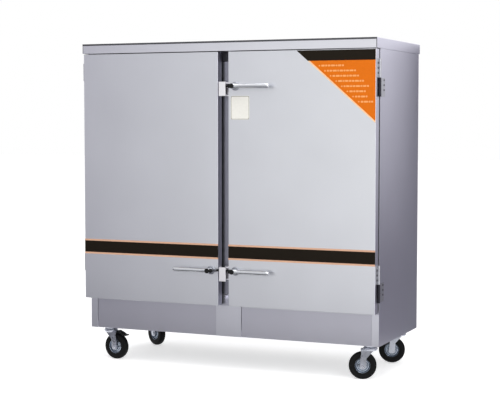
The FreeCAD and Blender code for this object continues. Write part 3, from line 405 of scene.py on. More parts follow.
def brushed_stainless(name, colour, roughness, grain_axis, grain_depth, wave_depth):
    # Brushed 304 stainless steel sheet: a dull satin grey with fine lines along one direction.
    # The real lines are about 0.1 mm apart; they are drawn 1.6 mm apart so that they show at all.
    # Thin sheet isn't quite flat, so a slow wave of some 300 mm bends what it mirrors.
    material, shader = start_material(name, colour, 1.0, roughness)
    place = add_node(material, "TexCoord")
    fine = 1 / (1.6 * mm)
    stretch = [fine, fine, fine]
    stretch[grain_axis] = 1 / (220 * mm)
    spread = add_node(material, "Mapping", {"Scale": stretch}, [("Vector", place, "Object")])
    lines = add_node(material, "TexNoise", {"Scale": 1.0, "Detail": 4.0, "Roughness": 0.65},
                     [("Vector", spread, "Vector")])
    gloss = add_node(material, "MapRange", {"To Min": roughness - 0.06, "To Max": roughness + 0.06},
                     [("Value", lines, "Fac")])
    feed(material, shader, "Roughness", gloss, "Result")
    cloud = add_node(material, "TexNoise", {"Scale": 1 / (260 * mm), "Detail": 2.0},
                     [("Vector", place, "Object")])
    blend = add_node(material, "Math", {"operation": "MULTIPLY_ADD", 1: 0.35},
                     [(0, lines, "Fac"), (2, cloud, "Fac")])
    dark = shaded(colour, 0.95)
    pale = shaded(colour, 1.04)
    tone = add_node(material, "Mix", {"data_type": "RGBA", colour_a: dark, colour_b: pale},
                    [(mix_share, blend, "Value")])
    feed(material, shader, "Base Color", tone, mixed)
    brush = add_node(material, "Bump", {"Strength": 1.0, "Distance": grain_depth},
                     [("Height", lines, "Fac")])
    slow = add_node(material, "TexNoise", {"Scale": 1 / (330 * mm), "Detail": 1.0},
                    [("Vector", place, "Object")])
    wave = add_node(material, "Bump", {"Strength": 1.0, "Distance": wave_depth},
                    [("Height", slow, "Fac"), ("Normal", brush, "Normal")])
    feed(material, shader, "Normal", wave, "Normal")
    return material


upright, lengthwise = 2, 0
post_steel = brushed_stainless("brushed_stainless_posts", "#DCDCE4", 0.34, upright, 0.004 * mm, 0.5 * mm)
kick_steel = brushed_stainless("brushed_stainless_kick_panels", "#CBCAD4", 0.36, lengthwise, 0.004 * mm,
                               1.0 * mm)
softened("plinth_frame", "plinth_frame_welded", 0.5 * mm, 2, post_steel)
softened("plinth_panels", "plinth_kick_panels", 0.3 * mm, 2, kick_steel)


def sprayed_paint(name, colour, roughness, peel):
    # Stoving enamel sprayed on steel: an even colour with orange peel and a slight change of tone.
    material, shader = start_material(name, colour, 0.0, roughness)
    place = add_node(material, "TexCoord")
    drift = add_node(material, "TexNoise", {"Scale": 1 / (70 * mm), "Detail": 3.0},
                     [("Vector", place, "Object")])
    dark = shaded(colour, 0.88)
    tone = add_node(material, "Mix", {"data_type": "RGBA", colour_a: dark, colour_b: linear(colour)},
                    [(mix_share, drift, "Fac")])
    feed(material, shader, "Base Color", tone, mixed)
    dimple = add_node(material, "TexNoise", {"Scale": 1 / peel, "Detail": 1.0},
                      [("Vector", place, "Object")])
    bump = add_node(material, "Bump", {"Strength": 0.35, "Distance": 0.08 * mm},
                    [("Height", dimple, "Fac")])
    feed(material, shader, "Normal", bump, "Normal")
    return material


base_paint = sprayed_paint("grey_base_enamel", "#8E8F93", 0.45, 2.2 * mm)
softened("base_chassis", "base_chassis_painted", 0.6 * mm, 2, base_paint)


# Body sheets
# Side panels, back panel, front frame and the mullion between the doors are folded from 1 mm brushed sheet.
# Spot welds inside close the folds, so outside only the soft bend shows; the back is held by blind rivets.

# Painted shade: a darker copy of the brushed sheet for faces turned to the sides and back.
side_steel_painted_shade = brushed_stainless("brushed_stainless_sides_painted_shade", "#BFBFCB", 0.33, upright, 0.004 * mm, 1.2 * mm)
for side in ("right", "left"):
    node = "side_panel_" + side
    softened(node, node + "_sheet", 0.45 * mm, 2, side_steel_painted_shade)
softened("back_panel", "back_panel_sheet", 0.35 * mm, 2, side_steel_painted_shade)
rivet = turned("rivet", [(0, 0), (4.2, 0), (4, 0.7), (2.8, 1.5), (0, 1.8)], (0, 0, 0), (0, 1, 0), steps=12)
back_low, back_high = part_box("back_panel")
rivet_inset = 14 * mm
rivet_gaps = 6
column_step = (back_high.x - back_low.x - 2 * rivet_inset) / rivet_gaps
row_step = (back_high.z - back_low.z - 2 * rivet_inset) / rivet_gaps
rivets = []
for column in range(rivet_gaps + 1):
    for row in range(rivet_gaps + 1):
        if column in (0, rivet_gaps) or row in (0, rivet_gaps):
            x = back_low.x + rivet_inset + column * column_step
            z = back_low.z + rivet_inset + row * row_step
            rivets.append(copied(rivet, "rivet", Matrix.Translation((x, back_high.y, z))))
back_rivets = joined("back_panel_rivets", rivets)
bpy.data.objects.remove(rivet)
dress(back_rivets, side_steel_painted_shade, "cabinet")
front_steel = brushed_stainless("brushed_stainless_front_frame", "#C2C2CC", 0.36, upright, 0.004 * mm,
                                0.6 * mm)
softened("front_frame", "front_frame_folded", 0.5 * mm, 2, front_steel)
# Painted shade: a much darker copy of the sheet on the mullion, for the shade in the channel between the
# doors.
mullion_steel_painted_shade = brushed_stainless("brushed_stainless_mullion_painted_shade", "#8C8C94", 0.36, upright, 0.004 * mm,
                                  0.6 * mm)
softened("centre_mullion", "centre_mullion_folded", 0.5 * mm, 2, mullion_steel_painted_shade)


# Insulation and chamber liners
# Slabs of pale rigid foam fill the walls, hidden once the liners are in.
# Liners are folded from cold rolled 2B sheet, which is smoother and a little milky.

def rigid_foam(name, colour, cell):
    # Cut polyurethane foam: pale yellow, matt, with small open cells on the cut face.
    material, shader = start_material(name, colour, 0.0, 0.9)
    place = add_node(material, "TexCoord")
    cells = add_node(material, "TexVoronoi", {"Scale": 1 / cell}, [("Vector", place, "Object")])
    dark = shaded(colour, 0.7)
    tone = add_node(material, "Mix", {"data_type": "RGBA", colour_a: dark, colour_b: linear(colour)},
                    [(mix_share, cells, "Distance")])
    feed(material, shader, "Base Color", tone, mixed)
    bump = add_node(material, "Bump", {"Strength": 0.6, "Distance": 0.4 * mm},
                    [("Height", cells, "Distance")])
    feed(material, shader, "Normal", bump, "Normal")
    return material


def paint_node(name, material):
    """Gives a CAD node that keeps its own shape its material."""
    node = frame["nodes"][name]
    node.data.materials.clear()
    node.data.materials.append(material)


foam = rigid_foam("rigid_foam", "#E6DCB4", 1.5 * mm)
paint_node("body_insulation", foam)
liner_steel = brushed_stainless("cold_rolled_liner_sheet", "#C6C7CB", 0.28, upright, 0.001 * mm, 1.2 * mm)
for side in ("right", "left"):
    node = "chamber_liner_" + side
    softened(node, node + "_folded", 0.35 * mm, 2, liner_steel)


# Water tanks and heaters
# Tanks are deep drawn from stainless sheet and hang by their rims in the chamber floors.
# The heating tubes are nickel alloy, gone dull brown grey from heat, on a turned flange.

softened("water_tanks", "water_tanks_drawn", 0.4 * mm, 2, liner_steel)
heater_alloy = zinc_plated("heated_nickel_alloy", "#6F6A66", 0.42, 20 * mm)
softened("heating_elements", "heating_elements_tubes", 0.5 * mm, 2, heater_alloy)


# Float valve, pipework and drain valve
# The float valve and the drain valve are machined from brass, then tumbled to a satin gloss.
# Pipes are drawn stainless tube, welded where they branch; the drain lever has a red dipped grip.

def machined_brass(name, colour):
    # Turned brass: warm and glossy, with darker, duller patches where it has tarnished.
    material, shader = start_material(name, colour, 1.0, 0.3)
    place = add_node(material, "TexCoord")
    tarnish = add_node(material, "TexNoise", {"Scale": 1 / (18 * mm), "Detail": 5.0},
                       [("Vector", place, "Object")])
    dark = linear("#8A6A3A")
    tone = add_node(material, "Mix", {"data_type": "RGBA", colour_a: dark, colour_b: linear(colour)},
                    [(mix_share, tarnish, "Fac")])
    feed(material, shader, "Base Color", tone, mixed)
    gloss = add_node(material, "MapRange", {"To Min": 0.42, "To Max": 0.2}, [("Value", tarnish, "Fac")])
    feed(material, shader, "Roughness", gloss, "Result")
    return material


brass = machined_brass("machined_brass", "#CFA85F")
softened("float_valve", "float_valve_machined", 0.5 * mm, 2, brass)
softened("drain_valve", "drain_valve_machined", 0.8 * mm, 3, brass)
softened("float_arm", "float_arm_bright", 0.4 * mm, 2, liner_steel)
softened("water_pipework", "water_pipework_tube", 0.4 * mm, 2, liner_steel)
red_grip = sprayed_paint("red_dipped_vinyl", "#B3261E", 0.38, 3 * mm)
softened("drain_lever", "drain_lever_dipped", 0.8 * mm, 3, red_grip)


# Steam vents and terminal box
# Vents are welded tube with a pressed collar over the hole in the back panel.
# The terminal box is folded steel with grey enamel, a screwed cover and a cable gland.

softened("steam_vents", "steam_vents_welded", 0.4 * mm, 2, liner_steel)
box_enamel = sprayed_paint("grey_box_enamel", "#9A9CA0", 0.42, 1.8 * mm)
softened("terminal_box", "terminal_box_painted", 1.2 * mm, 3, box_enamel)


# Racks and trays
# Racks are flat posts with spot welded ledges, and the trays are pressed from thin bright sheet.
# Both are cleaned every day, so that they keep more gloss than the body.

rack_steel = brushed_stainless("bright_rack_steel", "#CACBCF", 0.24, lengthwise, 0.001 * mm, 0.4 * mm)
softened("tray_racks", "tray_racks_welded", 0.3 * mm, 1, rack_steel)
softened("trays", "trays_pressed", 0.3 * mm, 1, rack_steel)


# Lid
# One pan of 1.2 mm brushed sheet with a folded lip on all sides, laid over the body and welded inside.
# Dark strips at its front corners are painted shade, and a dark strip along its front top edge is painted
# reflection.

def folded_pan(name, low, high, open_face, fold_radius, sheet):
    """A pan folded from sheet: a cuboid left open on one side, its folds rounded, then given a wall."""
    pan = block(name, low, high)
    edit(pan, "FACE", lambda place, normal: normal.dot(Vector(open_face)) > 0.9)
    bpy.ops.mesh.delete(type="FACE")
    axis = [abs(part) for part in open_face].index(1)
    rim = high[axis] if open_face[axis] > 0 else low[axis]
    edit(pan, "EDGE", lambda a, b: abs(a[axis] - rim) > 0.1 * mm or abs(b[axis] - rim) > 0.1 * mm)
    bpy.ops.mesh.bevel(offset=fold_radius, offset_type="OFFSET", segments=4, affect="EDGES")
    use_modifier(pan, "SOLIDIFY", thickness=sheet, offset=-1.0, use_even_offset=True)
    return pan


def repaint(piece, material, rule):
    """Gives a second material to those faces of a piece that a rule holds for."""
    piece.data.materials.append(material)
    for face in piece.data.polygons:
        if rule(face.center, face.normal):
            face.material_index = len(piece.data.materials) - 1


lid_steel = brushed_stainless("brushed_stainless_lid", "#DEDEE4", 0.33, lengthwise, 0.004 * mm, 0.8 * mm)
lid_low, lid_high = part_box("lid_pan")
lid = folded_pan("lid_folded", lid_low, lid_high, (0, 0, -1), 2.2 * mm, 1.2 * mm)
dress(lid, lid_steel, "cabinet", ["lid_pan"])
# Painted shade: the lid's side and back lips take the darker sheet.
repaint(lid, side_steel_painted_shade, lambda place, normal: abs(normal.x) > 0.5 or normal.y > 0.5)
# Painted shade: a thin dark strip on each front corner of the lip, for the shade of the seam there.
corner_seam_painted_shade = zinc_plated("corner_seam_painted_shade_steel", "#55555C", 0.5, 10 * mm)
seam_width = 3 * mm
for side, left in (("right", lid_high.x - seam_width), ("left", -lid_high.x)):
    seam = block("lid_corner_seam_" + side, (left, lid_low.y - 0.05 * mm, lid_low.z + 1 * mm),
                 (left + seam_width, lid_low.y + 1 * mm, lid_high.z - 3 * mm))
    use_modifier(seam, "BEVEL", width=0.04 * mm, segments=1)
    dress(seam, corner_seam_painted_shade, "cabinet")
# Painted reflection: a dark strip along the lid's front top edge stands for the dark line mirrored on its
# rounded edge.
lid_edge_painted_reflection = moulded_rubber("lid_edge_strip_painted_reflection", "#3E3E42", 1.5 * mm, 0.45)
softened("lid_front_strip", "lid_front_edge_painted_reflection", 0.5 * mm, 2, lid_edge_painted_reflection)


# Hinges and keepers
# Hinges are cast stainless leaves on a ground pin, each held by three domed screws.
# Screws and frame knuckles are dark, as painted shade of the gap; keepers are machined blocks for the lever
# noses.

hinge_cast = zinc_plated("cast_stainless_hinge", "#B9BAC0", 0.30, 12 * mm)
hinge_painted_shade = zinc_plated("hinge_steel_painted_shade", "#38383E", 0.45, 12 * mm)
hinge_line = joints["door_right_hinge"]["pos_m"]
leaf_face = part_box("side_panel_right")[1].x + 3.1 * mm
knuckle_reach = 6.2 * mm


def on_knuckle(place):
    """Whether a place is on the round part of a hinge, about its pin."""
    return math.hypot(abs(place.x) - hinge_line[0], place.y - hinge_line[1]) < knuckle_reach


for name in ("hinge_frame_leaves", "hinge_door_leaves_right", "hinge_door_leaves_left"):
    leaves = softened(name, name + "_cast", 0.8 * mm, 3, hinge_cast)
    frame_half = name == "hinge_frame_leaves"
    # Painted shade: the frame leaves' knuckles and the screw heads standing out from the leaves are made
    # dark.
    repaint(leaves, hinge_painted_shade,
            lambda place, normal: frame_half if on_knuckle(place) else abs(place.x) > leaf_face)
# Painted reflection: the keeper steel is near white, brighter than steel, for the bright light its face
# mirrors.
keeper_steel_painted_reflection = brushed_stainless("machined_keeper_steel_painted_reflection", "#F6F4F6", 0.30, upright, 0.002 * mm, 0.1 * mm)
softened("keepers", "keepers_machined", 0.8 * mm, 3, keeper_steel_painted_reflection)


# Doors
# Each door is a folded pan of 0.8 mm brushed sheet over a foam core, closed by a dished inner sheet.
# A hollow black gasket is pushed on round the inner sheet and seals on the front frame.

door_steel = brushed_stainless("brushed_stainless_doors", "#DADBE0", 0.36, upright, 0.004 * mm, 1.5 * mm)
gasket_rubber = moulded_rubber("extruded_gasket_rubber", "#131314", 1.0 * mm, 0.55)
for side in ("right", "left"):
    skin_low, skin_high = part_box("door_skin_" + side)
    skin = folded_pan("door_skin_folded_" + side, skin_low, skin_high, (0, 1, 0), 2.5 * mm, 0.8 * mm)
    dress(skin, door_steel, "door_" + side, ["door_skin_" + side])
    # Painted shade: the door's side edges take the darker sheet.
    repaint(skin, side_steel_painted_shade, lambda place, normal: abs(normal.x) > 0.4)
    paint_node("door_core_" + side, foam)
    softened("door_inner_" + side, "door_inner_dished_" + side, 0.3 * mm, 2, liner_steel)
    softened("door_gasket_" + side, "door_gasket_extruded_" + side, 3 * mm, 4, gasket_rubber)


# Door stripe
# A black vinyl band across both doors with a pale orange line along each edge, cut and rolled on.
# Satin film with a faint texture from the roller.

def film(name, low, high, cuts=()):
    """A flat sheet on a door's front between two corners; each cut takes off what lies beyond it."""
    bpy.ops.object.select_all(action="DESELECT")
    middle = ((low[0] + high[0]) / 2, low[1], (low[2] + high[2]) / 2)
    bpy.ops.mesh.primitive_plane_add(size=1, rotation=(math.pi / 2, 0, 0), location=middle)
    sheet = bpy.context.object
    sheet.name = name
    sheet.scale = (high[0] - low[0], high[2] - low[2], 1)
    bpy.ops.object.transform_apply(location=True, rotation=True, scale=True)
    for point, outwards in cuts:
        edit(sheet, "FACE", lambda place, normal: True)
        bpy.ops.mesh.bisect(plane_co=point, plane_no=outwards, use_fill=False, clear_outer=True)
        bpy.ops.object.mode_set(mode="OBJECT")
    return sheet


def printed_vinyl(name, colour, roughness):
    # Printed and rolled vinyl film: full colour under a satin face with a faint roller grain.
    material, shader = start_material(name, colour, 0.0, roughness)
    shader.inputs["Specular IOR Level"].default_value = 0.1
    place = add_node(material, "TexCoord")
    ink = add_node(material, "TexNoise", {"Scale": 1 / (9 * mm), "Detail": 4.0},
                   [("Vector", place, "Object")])
    dark = shaded(colour, 0.9)
    tone = add_node(material, "Mix", {"data_type": "RGBA", colour_a: dark, colour_b: linear(colour)},
                    [(mix_share, ink, "Fac")])
    feed(material, shader, "Base Color", tone, mixed)
    bump = add_node(material, "Bump", {"Strength": 0.2, "Distance": 0.05 * mm}, [("Height", ink, "Fac")])
    feed(material, shader, "Normal", bump, "Normal")
    return material


black_vinyl = printed_vinyl("black_vinyl_film", "#1B150D", 0.5)
orange_vinyl = printed_vinyl("orange_vinyl_film", "#E0700A", 0.5)
line_vinyl = printed_vinyl("pale_orange_line_vinyl", "#DCAE92", 0.5)
line_height = 8 * mm
line_inset = 0.2 * mm
for side in ("right", "left"):
    band_low, band_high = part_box("door_stripe_" + side)
    band = block("stripe_band_" + side, band_low, band_high)
    use_modifier(band, "BEVEL", width=0.12 * mm, segments=1)
    dress(band, black_vinyl, "door_" + side, ["door_stripe_" + side])
    for edge, bottom in (("upper", band_high.z - line_height), ("lower", band_low.z)):
        line = film("stripe_line_" + edge + "_" + side, (band_low.x + line_inset, band_low.y, bottom),
                    (band_high.x - line_inset, band_low.y, bottom + line_height))
        use_modifier(line, "SOLIDIFY", thickness=0.1 * mm, offset=1.0)
        dress(line, line_vinyl, "door_" + side)


# Corner label
# A vinyl triangle in the top corner of the right door: a black band over an orange field.
# A pale border follows its long edge, and eight rows of a bullet and plain bars fill the field.

pale_vinyl = printed_vinyl("pale_vinyl_film", "#F8CFA0", 0.5)
row_vinyl = printed_vinyl("light_orange_vinyl_film", "#F4AA66", 0.5)
label_low, label_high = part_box("corner_label")
slope = Vector((label_high.z - label_low.z, 0, label_high.x - label_low.x)).normalized()
long_edge = Vector((label_low.x, 0, label_high.z))
band_drop = 46 * mm
border_width = 6 * mm
ink_thickness = 0.06 * mm
layer_step = 0.08 * mm


def label_film(name, low, high, layer, cuts, material):
    """One printed layer of the corner label."""
    face = label_low.y - layer * layer_step
    sheet = film(name, (low[0], face, low[1]), (high[0], face, high[1]), cuts)
    use_modifier(sheet, "SOLIDIFY", thickness=ink_thickness, offset=-1.0)
    dress(sheet, material, "door_right")


behind_edge = (long_edge, -slope)
beyond_border = (long_edge + slope * border_width, slope)
field = block("label_field", label_low, label_high)
edit(field, "FACE", lambda place, normal: True)
bpy.ops.mesh.bisect(plane_co=long_edge, plane_no=-slope, use_fill=True, clear_outer=True)
bpy.ops.object.mode_set(mode="OBJECT")
dress(field, orange_vinyl, "door_right", ["corner_label"])
label_film("label_band", (label_low.x, label_high.z - band_drop), (label_high.x, label_high.z), 2,
           [behind_edge], black_vinyl)
label_film("label_border", (label_low.x, label_low.z), (label_high.x, label_high.z), 1,
           [behind_edge, beyond_border], pale_vinyl)

first_row_left = 461 * mm
first_row_height = 1394 * mm
row_shift = 26 * mm
row_drop = 22.6 * mm
row_lengths = [119 * mm, 150 * mm, 134 * mm, 130 * mm, 128 * mm, 89 * mm, 73 * mm, 68 * mm]
bar_height = 7.5 * mm
bullet_size = 6 * mm
bar_lengths = [15 * mm, 9 * mm, 12 * mm, 18 * mm, 8 * mm]
bar_gap = 3 * mm
shortest_bar = 4 * mm
bar_corner = 1.6 * mm
bar_face = label_low.y - layer_step
for row, length in enumerate(row_lengths):
    middle = first_row_height - row * row_drop
    left = first_row_left + row * row_shift
    row_end = left + length
    sizes = [(left, left + bullet_size, bullet_size / 2)]
    left += bullet_size + 2 * bar_gap
    turn = row
    while left < row_end - shortest_bar:
        right = min(left + bar_lengths[turn % len(bar_lengths)], row_end)
        sizes.append((left, right, bar_height / 2))
        left = right + bar_gap
        turn += 1
    bars = [film("bar", (start, bar_face, middle - half), (stop, bar_face, middle + half))
            for start, stop, half in sizes]
    row_print = joined("label_row_%d" % (row + 1), bars)
    edit(row_print, "VERT", lambda place: True)
    bpy.ops.mesh.bevel(offset=bar_corner, offset_type="OFFSET", segments=3, affect="VERTICES")
    bpy.ops.object.mode_set(mode="OBJECT")
    use_modifier(row_print, "SOLIDIFY", thickness=ink_thickness, offset=-1.0)
    dress(row_print, row_vinyl, "door_right")


# Blank plate
# A small off-white plastic plate with rounded corners and a thin grey border line, stuck under the lever.
# Its face is bare and slightly glossy.

plate_low, plate_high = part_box("blank_plate")
plate_corner = 9 * mm
border_inset = 1.5 * mm
border_line = 2.5 * mm
border_start = 1.6 * mm
border_end = 4.4 * mm
plate_thickness = 0.5 * mm
plate = film("blank_plate_moulded", (plate_low.x, plate_high.y, plate_low.z),
             (plate_high.x, plate_high.y, plate_high.z))
edit(plate, "VERT", lambda place: True)
bpy.ops.mesh.bevel(offset=plate_corner, offset_type="OFFSET", segments=6, affect="VERTICES")
edit(plate, "FACE", lambda place, normal: True)
bpy.ops.mesh.inset(thickness=border_inset)
bpy.ops.mesh.inset(thickness=border_line)
bpy.ops.object.mode_set(mode="OBJECT")
use_modifier(plate, "SOLIDIFY", thickness=plate_thickness, offset=1.0)
plate_white = printed_vinyl("off_white_plate", "#F3F1EA", 0.4)
plate_grey = printed_vinyl("grey_border_print", "#A9A49C", 0.4)
dress(plate, plate_white, "door_right", ["blank_plate"])
plate_middle = (plate_low + plate_high) / 2
plate_half = (plate_high - plate_low) / 2


def from_edge(place):
    """How far in from the plate's edge a place lies."""
    return min(plate_half.x - abs(place.x - plate_middle.x), plate_half.z - abs(place.z - plate_middle.z))


repaint(plate, plate_grey, lambda place, normal: border_start < from_edge(place) < border_end)


# Latches
# Levers are die cast zinc with bright chrome and a tapered round grip, black caps on the hub and its end,
# and a flat steel nose that turns in behind the keeper; its black tip is painted shade under the keeper's
# head.
# Each turns on a spindle in a satin round rosette that is screwed through the door skin.

def chrome(name, colour, roughness):
    # Bright chrome on a polished casting: mirror smooth, with faint hand polishing marks and
    # slight ripples of the casting below.
    material, shader = start_material(name, colour, 1.0, roughness)
    place = add_node(material, "TexCoord")
    haze = add_node(material, "TexNoise", {"Scale": 1 / (8 * mm), "Detail": 5.0},
                    [("Vector", place, "Object")])
    gloss = add_node(material, "MapRange", {"To Min": roughness * 0.6, "To Max": roughness * 1.8},
                     [("Value", haze, "Fac")])
    feed(material, shader, "Roughness", gloss, "Result")
    ripple = add_node(material, "TexNoise", {"Scale": 1 / (25 * mm), "Detail": 1.0},
                      [("Vector", place, "Object")])
    bump = add_node(material, "Bump", {"Strength": 0.5, "Distance": 0.15 * mm},
                    [("Height", ripple, "Fac")])
    feed(material, shader, "Normal", bump, "Normal")
    return material


lever_chrome = chrome("polished_lever_chrome", "#CCCED2", 0.09)
rosette_chrome = chrome("satin_rosette_chrome", "#A6A8B0", 0.26)
black_caps_and_nose_shade = moulded_rubber("black_cap_plastic_and_nose_shade", "#121213", 0.8 * mm, 0.35)
nose_steel = zinc_plated("satin_nose_steel", "#9C9CA4", 0.36, 8 * mm)
door_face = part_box("door_skin_right")[0].y
rosette_outline = [(0, 0), (20, 0), (20, 4), (19, 6.6), (17, 7.8), (14.5, 8), (13.5, 7), (0, 7)]
forwards = (0, -1, 0)
sideways = (1, 0, 0)
rosette = turned("rosette", rosette_outline, (0, 0, 0), forwards, steps=64)
spindle = turned("spindle", [(0, 6), (4.7, 6), (4.7, 35), (0, 35)], (0, 0, 0), forwards, steps=32)
base_model = joined("base_model", [rosette, spindle])

hub_outline = [(5.2, 8.4), (12.6, 8.4), (13, 9.4), (12, 14), (11.2, 20), (11.4, 30), (12, 38), (11.6, 43.6),
               (10.8, 44), (0, 44), (0, 37), (5.2, 37)]
hub = turned("hub", hub_outline, (0, 0, 0), forwards, steps=48)
grip_line = (0, -36 * mm, 0)
grip_outline = [(0, -10), (9.6, -10), (10.4, -8), (11, 2), (10.6, 12), (9.6, 26), (9.4, 50), (9.7, 90),
                (10.3, 130), (10.8, 160), (10.9, 168), (10.2, 173), (8.2, 176.4), (4.6, 177.8), (0, 178)]
grip = turned("grip", grip_outline, grip_line, sideways, steps=40)
lever_model = joined("lever_model", [hub, grip])
use_modifier(lever_model, "REMESH", mode="VOXEL", voxel_size=1.0 * mm, adaptivity=0.0)
use_modifier(lever_model, "SMOOTH", factor=0.5, iterations=8)

end_outline = [(0, -9), (8.8, -9), (9.6, -10.4), (9.8, -13), (9.4, -17), (8, -19.6), (5.4, -21), (0, -21.5)]
end_cap = turned("end_cap", end_outline, grip_line, sideways, steps=48)
cap_outline = [(0, 43.5), (10.9, 43.5), (11.3, 44.4), (11.2, 48), (10.2, 50.2), (8, 51), (6.6, 50.6),
               (0, 50.4)]
hub_cap = turned("hub_cap", cap_outline, (0, 0, 0), forwards, steps=48)
cap_model = joined("cap_model", [hub_cap, end_cap])

nose_half = 5.5 * mm
step_inner = -22 * mm
step_outer = -27.7 * mm
root_front = -14 * mm
root_back = -8.3 * mm
tip_front = -6 * mm
tip_back = -1 * mm
nose_end = -52 * mm
root_end = -6 * mm
nose_shade_start = 39 * mm
nose_model = block("nose_model", (step_outer, root_front, -nose_half), (step_inner, tip_back, nose_half))
for cut in (root_back, tip_front):
    edit(nose_model, "FACE", lambda place, normal: True)
    bpy.ops.mesh.bisect(plane_co=(0, cut, 0), plane_no=(0, 1, 0), use_fill=False)
edit(nose_model, "FACE", lambda place, normal: normal.x < -0.9 and place.y > tip_front)
bpy.ops.mesh.extrude_region_move(TRANSFORM_OT_translate={"value": (nose_end - step_outer, 0, 0)})
bpy.ops.transform.resize(value=(1, 0.75, 0.8), center_override=(nose_end, -3 * mm, 0))
edit(nose_model, "FACE", lambda place, normal: normal.x > 0.9 and place.y < root_back)
bpy.ops.mesh.extrude_region_move(TRANSFORM_OT_translate={"value": (root_end - step_inner, 0, 0)})
bpy.ops.object.mode_set(mode="OBJECT")
use_modifier(nose_model, "BEVEL", width=0.9 * mm, segments=3, limit_method="ANGLE",
             angle_limit=math.radians(30))

for name in ("right_upper", "right_lower", "left_lower"):
    place = joints["lever_" + name + "_turn"]["pos_m"]
    move = Matrix.Translation((place[0], door_face, place[2]))
    if name == "left_lower":
        move = move @ Matrix.Rotation(math.pi, 4, "Y")
    door = "door_" + name.split("_")[0]
    nodes = ["latch_base_left"] if name == "left_lower" else ["latch_bases_right"]
    base = copied(base_model, "latch_rosette_" + name, move)
    dress(base, rosette_chrome, door, nodes)
    body = "lever_" + name
    lever = copied(lever_model, "lever_cast_" + name, move)
    dress(lever, lever_chrome, body, ["latch_lever_" + name])
    cap = copied(cap_model, "lever_cap_" + name, move)
    dress(cap, black_caps_and_nose_shade, body)
    nose = copied(nose_model, "lever_nose_" + name, move)
    dress(nose, nose_steel, body)
    # Painted shade: the nose's tip, out beyond the hub, takes the black cap material where the keeper's head
    # shades it.
    repaint(nose, black_caps_and_nose_shade, lambda spot, normal: abs(spot.x - place[0]) > nose_shade_start)
for model in (base_model, lever_model, cap_model, nose_model):
    bpy.data.objects.remove(model)


# Floor, light and camera
# A plain white sweep and large soft lamps, as in a shop catalogue.
# Grey boards stand beside the cabinet, out of the camera's sight, and give the sheet its soft gradients.

def light_board(name, low, high, axis, start, end, dark, pale):
    """A board that only mirrors see, going from a dark to a pale light between two places on an axis."""
    board = block(name, low, high)
    material = bpy.data.materials.new(name + "_light")
    material.use_nodes = True
    tree = material.node_tree
    tree.nodes.remove(tree.nodes["Principled BSDF"])
    place = add_node(material, "TexCoord")
    split = add_node(material, "SeparateXYZ", {}, [("Vector", place, "Object")])
    share = add_node(material, "MapRange", {"From Min": start, "From Max": end}, [("Value", split, axis)])
    light = add_node(material, "Mix", {"data_type": "RGBA", colour_a: dark + (1.0,), colour_b: pale + (1.0,)},
                     [(mix_share, share, "Result")])
    shine = add_node(material, "Emission", {"Strength": 1.0}, [("Color", light, mixed)])
    tree.links.new(shine.outputs[0], tree.nodes["Material Output"].inputs["Surface"])
    board.data.materials.append(material)
    board.visible_camera = False
    board.visible_diffuse = False
    board.visible_shadow = False
    board.visible_transmission = False


def seen_share(owner):
    """One for rays of the camera, mirrors and glass, and nought for the light that falls on things."""
    rays = add_node(owner, "LightPath")
    seen = add_node(owner, "Math", {"operation": "ADD"},
                    [(0, rays, "Is Camera Ray"), (1, rays, "Is Glossy Ray")])
    return add_node(owner, "Math", {"operation": "ADD", "use_clamp": True},
                    [(0, seen, "Value"), (1, rays, "Is Transmission Ray")])


bpy.ops.object.select_all(action="DESELECT")
bpy.ops.mesh.primitive_plane_add(size=60, location=(0, 0, 0))
floor = bpy.context.object
floor.name = "floor"
floor_paint, floor_shader = start_material("white_floor", "#F2F2F2", 0.0, 0.9)
glow = add_node(floor_paint, "Math", {"operation": "MULTIPLY", 1: 0.55},
                [(0, seen_share(floor_paint), "Value")])
floor_shader.inputs["Emission Color"].default_value = (1, 1, 1, 1)
feed(floor_paint, floor_shader, "Emission Strength", glow, "Value")
floor.data.materials.append(floor_paint)

light_board("door_left_board", (-11.0, -7.2, 0.0), (-3.3, -7.1, 1.6), lengthwise, -6.2, -3.3,
            (0.20, 0.17, 0.27), (0.95, 0.97, 0.95))
light_board("door_right_board", (-3.3, -7.2, 0.0), (1.5, -7.1, 1.6), lengthwise, -3.3, -0.9,
            (0.95, 0.97, 0.95), (1.22, 1.24, 1.20))
light_board("upper_left_board", (-11.0, -7.2, 1.6), (-3.3, -7.1, 4.5), lengthwise, -6.2, -3.3,
            (0.19, 0.17, 0.25), (0.82, 0.83, 0.86))
light_board("upper_right_board", (-3.3, -7.2, 1.6), (1.5, -7.1, 4.5), lengthwise, -3.3, -0.9,
            (0.82, 0.83, 0.86), (0.92, 0.93, 0.94))
light_board("front_floor_board", (-8.0, -7.0, 0.002), (1.2, -2.4, 0.004), lengthwise, -4.0, 0.0,
            (0.22, 0.21, 0.27), (1.02, 1.02, 1.04))
light_board("near_floor_board", (-3.0, -2.4, 0.002), (1.2, -1.0, 0.004), lengthwise, -2.0, 0.4,
            (0.15, 0.15, 0.18), (0.70, 0.70, 0.73))
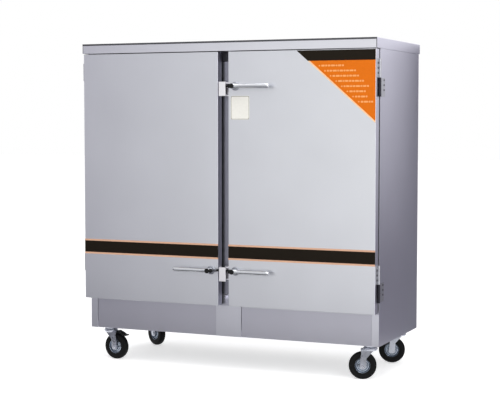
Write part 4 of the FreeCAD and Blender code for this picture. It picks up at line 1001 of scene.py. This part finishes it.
light_board("under_lever_board", (-3.0, -1.0, 0.002), (1.2, -0.45, 0.004), lengthwise, -2.0, 0.4,
            (0.06, 0.06, 0.07), (0.08, 0.08, 0.09))
light_board("side_far_board", (0.9, 3.0, 0.0), (6.0, 3.1, 3.0), upright, 0.0, 2.3,
            (0.10, 0.09, 0.13), (1.70, 1.68, 1.73))
light_board("side_near_board", (0.76, 0.80, 0.0), (1.0, 0.82, 1.54), upright, 0.0, 1.9,
            (0.21, 0.21, 0.24), (0.08, 0.07, 0.10))
light_board("side_floor_board", (0.9, -0.4, 0.002), (6.0, 3.0, 0.004), lengthwise, 0.9, 6.0,
            (0.27, 0.26, 0.30), (0.31, 0.30, 0.34))

world = bpy.data.worlds.new("studio")
bpy.context.scene.world = world
world.use_nodes = True
sky = world.node_tree.nodes["Background"]
sky.inputs["Color"].default_value = (1, 1, 1, 1)
level = add_node(world, "MapRange", {"To Min": 0.55, "To Max": 1.0},
                 [("Value", seen_share(world), "Value")])
world.node_tree.links.new(level.outputs["Result"], sky.inputs["Strength"])


def soft_lamp(name, place, aim, size, power):
    """A large square lamp that points at a place."""
    lamp = bpy.data.lights.new(name, "AREA")
    lamp.size = size
    lamp.energy = power
    holder = bpy.data.objects.new(name, lamp)
    bpy.context.scene.collection.objects.link(holder)
    holder.location = place
    holder.rotation_euler = (Vector(aim) - Vector(place)).to_track_quat("-Z", "Y").to_euler()


soft_lamp("overhead_lamp", (0.5, -1.5, 5.0), (0, 0, 0.8), 4.0, 140)
soft_lamp("front_right_lamp", (4.0, -4.5, 3.2), (0, 0, 0.8), 2.5, 90)

camera_data = bpy.data.cameras.new("camera")
camera_data.sensor_width = 36
camera_data.lens = 94.953
camera_turn = math.radians(23.413)
camera_tilt = math.radians(-3.529)
camera = bpy.data.objects.new("camera", camera_data)
bpy.context.scene.collection.objects.link(camera)
camera.location = (2.4881, -5.7784, 1.1626)
camera.rotation_euler = (math.pi / 2 + camera_tilt, 0, camera_turn)
bpy.context.scene.camera = camera
bpy.context.scene.view_settings.view_transform = "Standard"
